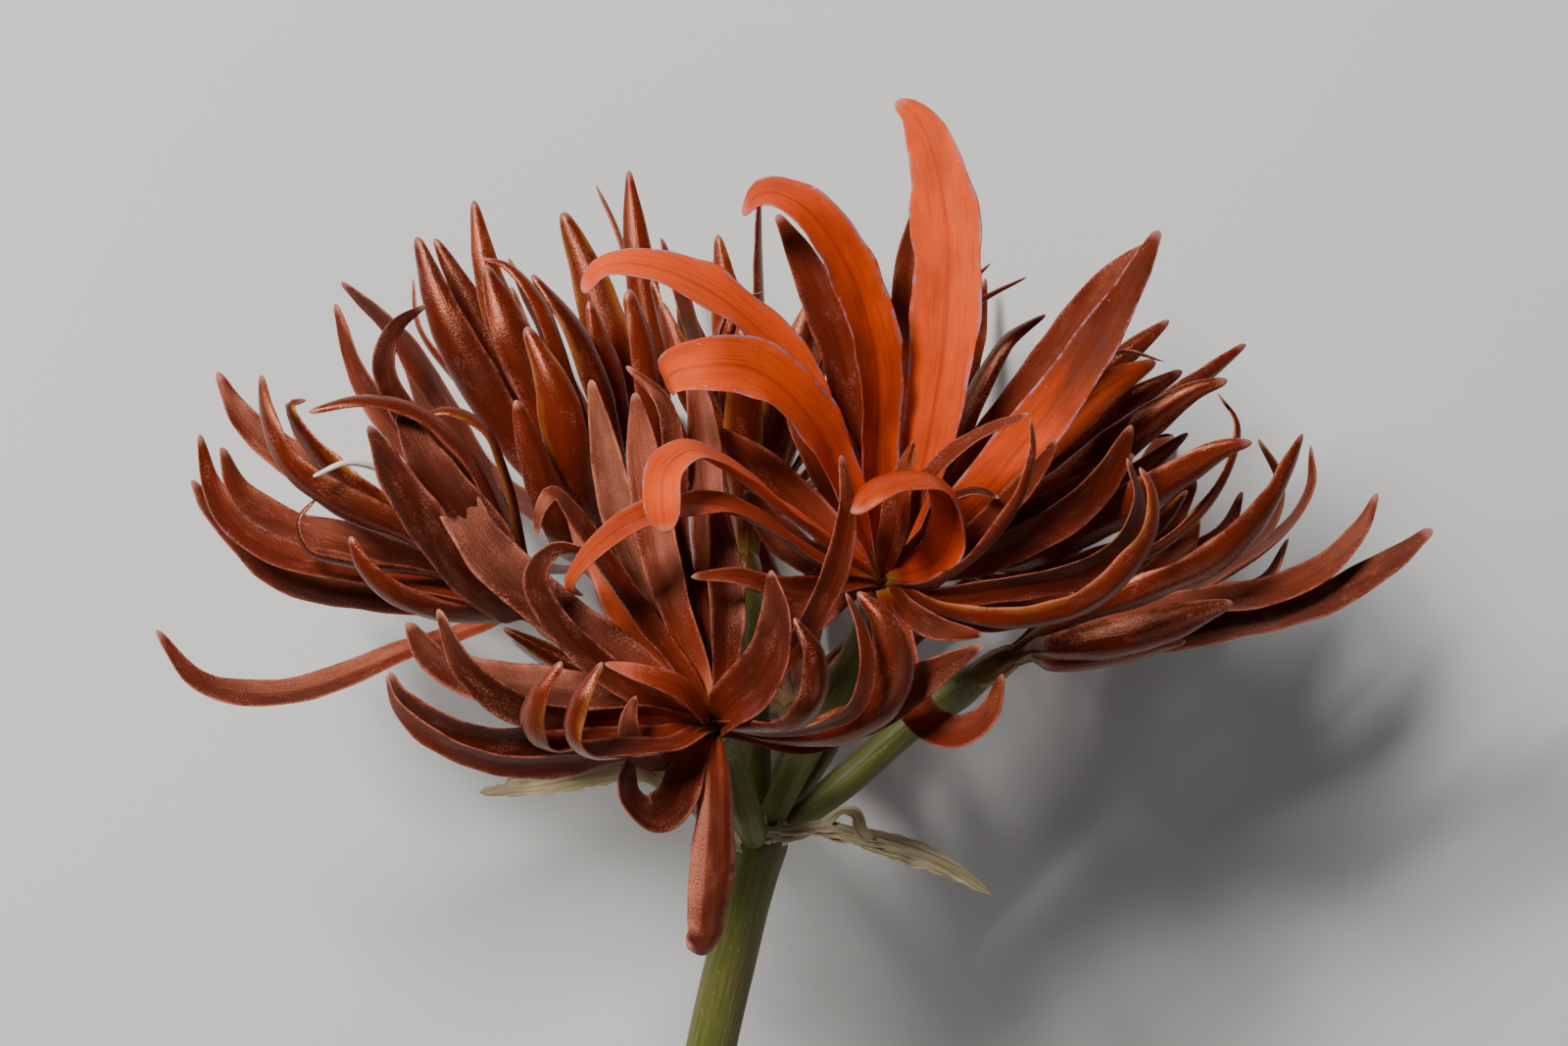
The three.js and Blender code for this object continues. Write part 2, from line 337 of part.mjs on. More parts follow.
// The way a tepal's inner side looks: to the bloom's axis, and square to the bend where it bends much.
function faceOf(bloom, points, tangents) {
  const middle = Math.floor(points.length / 2);
  const out = points[middle].clone().sub(bloom.at);
  const radial = squareTo(out, bloom.axis);
  const inward = squareTo(bloom.axis.clone().sub(radial), tangents[middle]);
  const bend = tangents[tangents.length - 1].clone().sub(tangents[1]);
  const across = bend.clone().addScaledVector(tangents[middle], -bend.dot(tangents[middle]));
  const share = THREE.MathUtils.smoothstep(across.length(), 0.35, 1.1);
  if (across.length() < 1e-6) return inward;
  across.normalize().multiplyScalar(across.dot(inward) < 0 ? -1 : 1);
  return inward.multiplyScalar(1 - share).addScaledVector(across, share);
}

// The share of its greatest width that a tepal has at a share of its length.
function widthAt(share, { claw, wide, tip }) {
  if (share < wide) {
    const rise = Math.sin((Math.PI / 2) * (share / wide));
    return claw + (1 - claw) * rise ** 1.3;
  }
  const fall = (share - wide) / (1 - wide);
  return tip + (1 - tip) * (1 - fall ** 2.2);
}

const ownTurns = (row) => (Array.isArray(row[row.length - 1]) ? {} : row[row.length - 1]);

// A tepal's midrib line: out of the throat along the bloom's axis, then through its own points.
function tepalLine(bloom, row) {
  const points = row.slice(1).filter(Array.isArray).map(seen);
  const way = points[0].clone().sub(bloom.at);
  const spread = way.angleTo(bloom.axis) / Math.PI;
  const aside = squareTo(way, bloom.axis);
  const root = bloom.at.clone().addScaledVector(bloom.axis, -2).addScaledVector(aside, 0.7);
  const mouth = bloom.at.clone().addScaledVector(bloom.axis, 2.2 - 1.4 * spread)
    .addScaledVector(aside, 0.8 + 3.4 * spread);
  const { face, foot, ...profile } = { ...PROFILE, ...ownTurns(row) };
  return {
    bloom,
    profile,
    foot,
    width: row[0],
    face: face && vector(face),
    line: smoothLine([root, mouth, ...points]),
    lean: new THREE.Vector3(),
    belly: new THREE.Vector3(),
  };
}

// A tepal's stations once it has been bent: by its lean, which grows to the tip, and its belly.
function stationsOf(tepal, shares) {
  const points = along(tepal.line, shares);
  points.forEach((p, i) => {
    const s = shares[i];
    p.addScaledVector(tepal.lean, s).addScaledVector(tepal.belly, 4 * s * (1 - s));
  });
  const tangents = tangentsOf(points);
  const face = tepal.face ?? faceOf(tepal.bloom, points, tangents);
  return { points, tangents, normals: normalsOf(points, tangents, face) };
}

// Bends the tepals until those of different blooms are clear of each other and of the green parts.
function bendClear(tepals, fixed) {
  const shares = evenShares(STATIONS - 1);
  const discs = (tepal) => {
    const { points, tangents, normals } = stationsOf(tepal, shares);
    const reach = points[0].distanceTo(points[STATIONS - 1]) / (STATIONS - 1);
    return points.map((at, i) => ({
      tepal, at, s: shares[i], along: tangents[i], up: normals[i],
      side: tangents[i].clone().cross(normals[i]),
      half: (tepal.width / 2) * widthAt(shares[i], tepal.profile),
      depth: TEPAL_THICKNESS / 2 + (tepal.profile.channel * tepal.width * widthAt(shares[i], tepal.profile)) / 5,
      reach: reach * 0.55,
      near: at.distanceTo(tepal.bloom.at) < KIN_NEAR,
    }));
  };
  const extent = (disc, way) =>
    Math.hypot(disc.half * way.dot(disc.side), disc.depth * way.dot(disc.up), disc.reach * way.dot(disc.along));
  const give = new THREE.Vector3(SIDEWAYS_GIVE, SIDEWAYS_GIVE, 1);
  const way = new THREE.Vector3();
  const push = (sums, disc, by) => {
    const swing = 4 * disc.s * (1 - disc.s);
    const hold = disc.s ** 2 + swing ** 2;
    const sum = sums.get(disc.tepal);
    sum.lean.addScaledVector(by, disc.s / hold);
    sum.belly.addScaledVector(by, swing / hold);
  };
  for (let round = 0; round < ROUNDS; round++) {
    const sums = new Map(tepals.map((t) => [t, { lean: new THREE.Vector3(), belly: new THREE.Vector3() }]));
    const all = tepals.flatMap((t) => discs(t).slice(1));
    for (let i = 0; i < all.length; i++) {
      const a = all[i];
      for (let j = i + 1; j < all.length; j++) {
        const b = all[j];
        if (a.tepal === b.tepal) continue;
        way.subVectors(b.at, a.at);
        const apart = way.length();
        if (apart > 12) continue;
        const kin = a.tepal.bloom === b.tepal.bloom;
        if (kin && (a.near || b.near)) continue;
        way.divideScalar(apart || 1);
        const deep = extent(a, way) + extent(b, way) + (kin ? KIN_CLEARANCE : CLEARANCE) - apart;
        if (deep <= 0) continue;
        const by = way.clone().multiply(give);
        by.multiplyScalar((0.16 * deep) / Math.max(by.dot(way), 1e-6));
        push(sums, b, by);
        push(sums, a, by.negate());
      }
      for (const ball of fixed) {
        if (ball.bloom === a.tepal.bloom && a.s < 0.3) continue;
        way.subVectors(a.at, ball.at);
        const apart = way.length();
        way.divideScalar(apart || 1);
        const deep = extent(a, way) + ball.radius + CLEARANCE - apart;
        if (deep <= 0) continue;
        const by = way.clone().multiply(give);
        push(sums, a, by.multiplyScalar((0.4 * deep) / Math.max(by.dot(way), 1e-6)));
      }
      const sunk = SURFACE_Z + 1.1 + a.half * Math.abs(a.side.z) - a.at.z;
      if (sunk > 0 && !a.tepal.foot) push(sums, a, new THREE.Vector3(0, 0, 0.4 * sunk));
    }
    for (const [t, sum] of sums) {
      t.lean.add(sum.lean);
      t.belly.add(sum.belly);
    }
  }
}

// A closed skin over rings of points, with flat ends. Quads are split along their own diagonal where
// flip says so, so that the two faces of a blade are split alike.
function skin(rings, flip = () => false) {
  const count = rings[0].length;
  const positions = rings.flat().flatMap((p) => [p.x, p.y, p.z]);
  const index = [];
  for (let i = 0; i + 1 < rings.length; i++)
    for (let k = 0; k < count; k++) {
      const a = i * count + k;
      const b = i * count + ((k + 1) % count);
      const c = b + count;
      const d = a + count;
      if (flip(k)) index.push(a, b, d, b, c, d);
      else index.push(a, b, c, a, c, d);
    }
  const end = (rings.length - 1) * count;
  for (let k = 1; k + 1 < count; k++) {
    index.push(0, k + 1, k);
    index.push(end, end + k, end + k + 1);
  }
  const geometry = new THREE.BufferGeometry();
  geometry.setAttribute("position", new THREE.Float32BufferAttribute(positions, 3));
  geometry.setIndex(index);
  return geometry;
}

function solid(geometry) {
  const bare = geometry.clone();
  bare.deleteAttribute("normal");
  bare.deleteAttribute("uv");
  const merged = mergeVertices(bare, 1e-4);
  const mesh = new wasm.Mesh({
    numProp: 3,
    vertProperties: merged.attributes.position.array,
    triVerts: new Uint32Array(merged.index.array),
  });
  return new wasm.Manifold(mesh);
}

// A thin blade: two faces a thickness apart, with its edges raised above its midrib.
function blade(points, tangents, normals, halfWidths, channel, thickness) {
  const rings = points.map((at, i) => {
    const side = tangents[i].clone().cross(normals[i]);
    const half = halfWidths[i];
    const corner = (across, lift) =>
      at.clone().addScaledVector(side, across * half)
        .addScaledVector(normals[i], channel * half * across * across + lift);
    const up = thickness / 2;
    const top = channel ? [corner(-1, up), corner(0, up), corner(1, up)] : [corner(-1, up), corner(1, up)];
    const under = channel ? [corner(1, -up), corner(0, -up), corner(-1, -up)] : [corner(1, -up), corner(-1, -up)];
    return [...top, ...under];
  });
  return solid(skin(rings, (k) => k >= rings[0].length / 2));
}

// Shares of a tepal's length that stand closer where it bends more.
function sharesByBend(tepal) {
  const fine = evenShares(24);
  const { tangents } = stationsOf(tepal, fine);
  const cost = [0];
  for (let i = 1; i < fine.length; i++)
    cost.push(cost[i - 1] + 0.07 + 0.5 * tangents[i].angleTo(tangents[i - 1]));
  const whole = cost[cost.length - 1];
  const steps = THREE.MathUtils.clamp(Math.round(whole * STEPS_PER_BEND), 4, 8);
  return evenShares(steps).map((share) => {
    const i = Math.max(cost.findIndex((c) => c >= share * whole - 1e-9), 1);
    return fine[i - 1] + (fine[i] - fine[i - 1]) * ((share * whole - cost[i - 1]) / (cost[i] - cost[i - 1]));
  });
}

function tepalSolid(tepal, grow = 0) {
  const shares = sharesByBend(tepal);
  const { points, tangents, normals } = stationsOf(tepal, shares);
  const halves = shares.map((s) => Math.max((tepal.width / 2) * widthAt(s, tepal.profile), 0.4) + grow);
  const channel = tepal.width < FLAT_BELOW ? 0 : tepal.profile.channel;
  return blade(points, tangents, normals, halves, channel, TEPAL_THICKNESS + 2 * grow);
}

// A round stalk of changing radius along a line.
function stalk(line, shares, radii, sides) {
  const points = along(line, shares);
  const tangents = tangentsOf(points);
  const normals = normalsOf(points, tangents, new THREE.Vector3(0.2, 0.1, 1));
  const rings = points.map((at, i) => {
    const side = tangents[i].clone().cross(normals[i]);
    return Array.from({ length: sides }, (_, k) => {
      const turn = (2 * Math.PI * k) / sides;
      return at.clone().addScaledVector(side, radii[i] * Math.cos(turn))
        .addScaledVector(normals[i], -radii[i] * Math.sin(turn));
    });
  });
  return solid(skin(rings));
}

function scapeSolid(grow = 0) {
  const line = smoothLine(SCAPE_LINE.map(vector));
  const shares = [0, 0.12, 0.26, 0.4, 0.54, 0.68, 0.8, 0.9, 0.96, 1];
  const body = stalk(line, shares, shares.map(() => SCAPE_RADIUS + grow), SCAPE_SIDES);
  const node = new THREE.SphereGeometry(NODE_RADIUS + grow, 10, 7).translate(...NODE_CENTRE);
  return body.add(solid(node));
}

function pedicelLine(bloom) {
  const foot = vector(NODE_CENTRE);
  const way = bloom.at.clone().sub(foot);
  const neck = bloom.at.clone().addScaledVector(bloom.axis, -TUBE_LENGTH - SEAT_GAP);
  const bow = neck.clone().addScaledVector(bloom.axis, -7);
  return smoothLine([foot, foot.clone().addScaledVector(way, 0.32), bow, neck]);
}

function pedicelSolid(bloom, grow = 0) {
  const shares = evenShares(PEDICEL_STEPS);
  const radii = shares.map((s) => {
    const stem = THREE.MathUtils.lerp(PEDICEL_BASE_RADIUS, PEDICEL_RADIUS, Math.min(s / 0.4, 1));
    const swell = s > 0.6 ? (OVARY_RADIUS - PEDICEL_RADIUS) * Math.sin((Math.PI * (s - 0.6)) / 0.4) : 0;
    const neck = s > 0.85 ? (NECK_RADIUS - PEDICEL_RADIUS) * ((s - 0.85) / 0.15) : 0;
    return stem + swell + neck + grow;
  });
  return stalk(pedicelLine(bloom), shares, radii, PEDICEL_SIDES);
}

// The short tube that the tepals spring from.
function tubeSolid(bloom, grow = 0) {
  const from = bloom.at.clone().addScaledVector(bloom.axis, -TUBE_LENGTH);
  const to = bloom.at.clone().addScaledVector(bloom.axis, 0.6 + grow);
  const radii = [NECK_RADIUS, TUBE_RADIUS, TUBE_RADIUS].map((radius) => radius + grow);
  return stalk([from, to], [0, 0.5, 1], radii, TUBE_SIDES);
}

function flowerSolid(bloom, grow = 0) {
  const tepals = bloom.tepals.map((tepal) => tepalSolid(tepal, grow));
  return wasm.Manifold.union([tubeSolid(bloom, grow), ...tepals]);
}

// The loose filament comes out between the claws of its bloom, clear of them.
function filamentSolid(bloom) {
  const shares = evenShares(FILAMENT_STEPS);
  const line = smoothLine([bloom.at, ...FILAMENT_LINE.map(seen)]);
  const whole = stalk(line, shares, shares.map(() => FILAMENT_RADIUS), FILAMENT_SIDES);
  return whole.subtract(flowerSolid(bloom, SEAT_GAP));
}

const biggest = (made) => made.decompose().sort((a, b) => b.volume() - a.volume())[0];
const tidied = (made) => biggest(biggest(made).simplify(SMALLEST_EDGE));

function bracts(rows) {
  const strips = rows.map((row) => {
    const profile = { ...PROFILE, ...ownTurns(row) };
    const shares = evenShares(BRACT_STEPS);
    const at = along(smoothLine(row.slice(1).filter(Array.isArray).map(seen)), shares);
    const tangents = tangentsOf(at);
    const normals = normalsOf(at, tangents, new THREE.Vector3(0.1, 0.45, 1));
    const halves = shares.map((s) => (row[0] / 2) * widthAt(s, profile));
    return blade(at, tangents, normals, halves, 0, BRACT_THICKNESS);
  });
  return biggest(wasm.Manifold.union(strips));
}

function meshOf(name, made, look) {
  const { vertProperties, triVerts, numProp } = made.getMesh();
  const geometry = new THREE.BufferGeometry();
  const positions = new Float32Array((vertProperties.length / numProp) * 3);
  for (let i = 0; i < positions.length / 3; i++)
    positions.set(vertProperties.subarray(i * numProp, i * numProp + 3), i * 3);
  geometry.setAttribute("position", new THREE.BufferAttribute(positions, 3));
  geometry.setIndex(new THREE.BufferAttribute(triVerts, 1));
  geometry.computeVertexNormals();
  const mesh = new THREE.Mesh(geometry, look);
  mesh.name = name;
  return mesh;
}

const look = (color, roughness) => new THREE.MeshStandardMaterial({ color, roughness, metalness: 0 });
const TEPAL_RED = look(0xb8442a, 0.45);
const STEM_GREEN = look(0x6f7a3a, 0.5);
const DRY_BROWN = look(0xb3a67c, 0.8);
const FILAMENT_PINK = look(0xe8cfc8, 0.5);

const blooms = Object.entries(BLOOMS).map(([name, { throat, facing, tepals }]) => {
  const bloom = { name, at: seen(throat), axis: vector(facing).normalize() };
  bloom.tepals = tepals.map((row) => tepalLine(bloom, row));
  return bloom;
});
const balls = blooms.flatMap((bloom) => [
  ...along(pedicelLine(bloom), evenShares(9)).slice(1).map((at) => ({ bloom, at, radius: OVARY_RADIUS })),
  { bloom, at: bloom.at, radius: TUBE_RADIUS + 0.4 },
]);
const scapeBalls = along(smoothLine(SCAPE_LINE.map(vector)), evenShares(60)).slice(-14)
  .map((at) => ({ at, radius: NODE_RADIUS }));
const bractBalls = Object.values(BRACTS).flat().flatMap((row) =>
  along(smoothLine(row.slice(1).filter(Array.isArray).map(seen)), evenShares(12))
    .map((at) => ({ at, radius: row[0] * 0.4 })));
const filamentBalls = along(smoothLine(FILAMENT_LINE.map(seen)), evenShares(14)).slice(3)
  .map((at) => ({ at, radius: FILAMENT_RADIUS }));
bendClear(blooms.flatMap((b) => b.tepals), [...balls, ...scapeBalls, ...bractBalls, ...filamentBalls]);

const lily = new THREE.Group();
lily.position.set(...SCAPE_TOP);
const aboveSurface = (made) => made.trimByPlane([0, 0, 1], SURFACE_Z);

const nodeGrown = scapeSolid(SEAT_GAP);
lily.add(meshOf("scape", aboveSurface(scapeSolid()), STEM_GREEN));
blooms.forEach((bloom, i) => {
  const rivals = blooms.slice(0, i).map((other) => pedicelSolid(other, SEAT_GAP));
  const pedicel = tidied(wasm.Manifold.difference([pedicelSolid(bloom), nodeGrown, ...rivals]));
  lily.add(meshOf(`pedicel_${bloom.name}`, pedicel, STEM_GREEN));
  lily.add(meshOf(`bloom_${bloom.name}`, tidied(aboveSurface(flowerSolid(bloom))), TEPAL_RED));
});
const green = wasm.Manifold.union([nodeGrown, ...blooms.map((bloom) => pedicelSolid(bloom, SEAT_GAP))]);
for (const [name, rows] of Object.entries(BRACTS))
  lily.add(meshOf(`bract_${name}`, tidied(bracts(rows).subtract(green)), DRY_BROWN));
const filamentBloom = blooms.find((bloom) => bloom.name === "left");
lily.add(meshOf("filament", tidied(filamentSolid(filamentBloom)), FILAMENT_PINK));

export default lily;
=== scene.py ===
"""A double-flowered red spider lily, cut and laid on its side.

The head of the flower is described from the top of the scape, in millimetres: x to the right, y up
the flower, z towards an eye straight above it. The finished meshes are in metres.
"""

from __future__ import annotations

import logging
import math
from dataclasses import dataclass, field
from enum import Enum
from typing import Iterable, Protocol, Sequence

import bmesh
import bpy
import mathutils
import numpy as np
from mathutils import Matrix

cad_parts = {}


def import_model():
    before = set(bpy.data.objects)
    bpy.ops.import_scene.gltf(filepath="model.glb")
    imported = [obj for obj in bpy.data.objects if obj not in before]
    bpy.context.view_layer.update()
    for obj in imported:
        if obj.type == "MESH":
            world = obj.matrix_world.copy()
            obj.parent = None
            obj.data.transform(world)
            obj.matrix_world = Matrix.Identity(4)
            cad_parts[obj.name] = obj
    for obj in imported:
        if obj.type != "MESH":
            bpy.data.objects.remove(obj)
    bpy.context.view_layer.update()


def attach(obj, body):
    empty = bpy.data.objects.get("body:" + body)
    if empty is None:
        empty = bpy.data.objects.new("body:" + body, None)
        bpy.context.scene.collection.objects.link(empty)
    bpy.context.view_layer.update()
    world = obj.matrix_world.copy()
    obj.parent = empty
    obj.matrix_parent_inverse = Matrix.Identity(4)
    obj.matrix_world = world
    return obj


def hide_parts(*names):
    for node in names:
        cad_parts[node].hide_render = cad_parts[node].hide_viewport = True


log = logging.getLogger("lily")

Point = tuple[float, float, float]
Colour = tuple[float, float, float]
Marks = dict[str, np.ndarray]

MM = 0.001
# How far above the top of the scape the eye is, and the point straight below it.
EYE_HEIGHT = 784.3
EYE = (1.8, 36.6)
CAMERA_AT = (1.765, 36.65)
# The surface that the flower lies on, and the top of the scape in the frame.
SURFACE_Z = -52.0
SCAPE_TOP = (-3.18, 75.6, -SURFACE_Z)
# The swollen end of the scape, from which the pedicels spring.
NODE_RADIUS = 3.35
NODE_CENTRE = (-1.3, -2.2, 0.0)
# Keeps divisions by a length or by a push away from nothing.
TINY_LENGTH = 1e-9
TINY_PUSH = 1e-6


@dataclass(frozen=True)
class Tepal:
    """One tepal, or a dried strip that is described in the same way, in millimetres.

    Attributes:
        width: Its greatest width.
        path: The points that its midrib passes, from the throat to its tip, as the eye sees them.
        face: The way that its inner side looks at its middle, where it isn't worked out.
        claw: The share of its width that it has at its foot.
        wide: The share of its length at which it is widest.
        tip: The share of its width that it keeps to its tip.
        channel: How far its margins rise.
        foot: Whether it stands on the surface.
        torn: Whether its tip is torn.
        bowed: Whether its margins turn back, away from its inner side.
    """

    width: float
    path: tuple[Point, ...]
    face: Point | None = None
    claw: float = 0.36
    wide: float = 0.6
    tip: float = 0.16
    channel: float = 0.34
    foot: bool = False
    torn: bool = False
    bowed: bool = False


@dataclass(frozen=True)
class Flower:
    """Where one bloom's throat is, the way it faces, and its tepals."""

    name: str
    throat: Point
    facing: Point
    tepals: tuple[Tepal, ...]


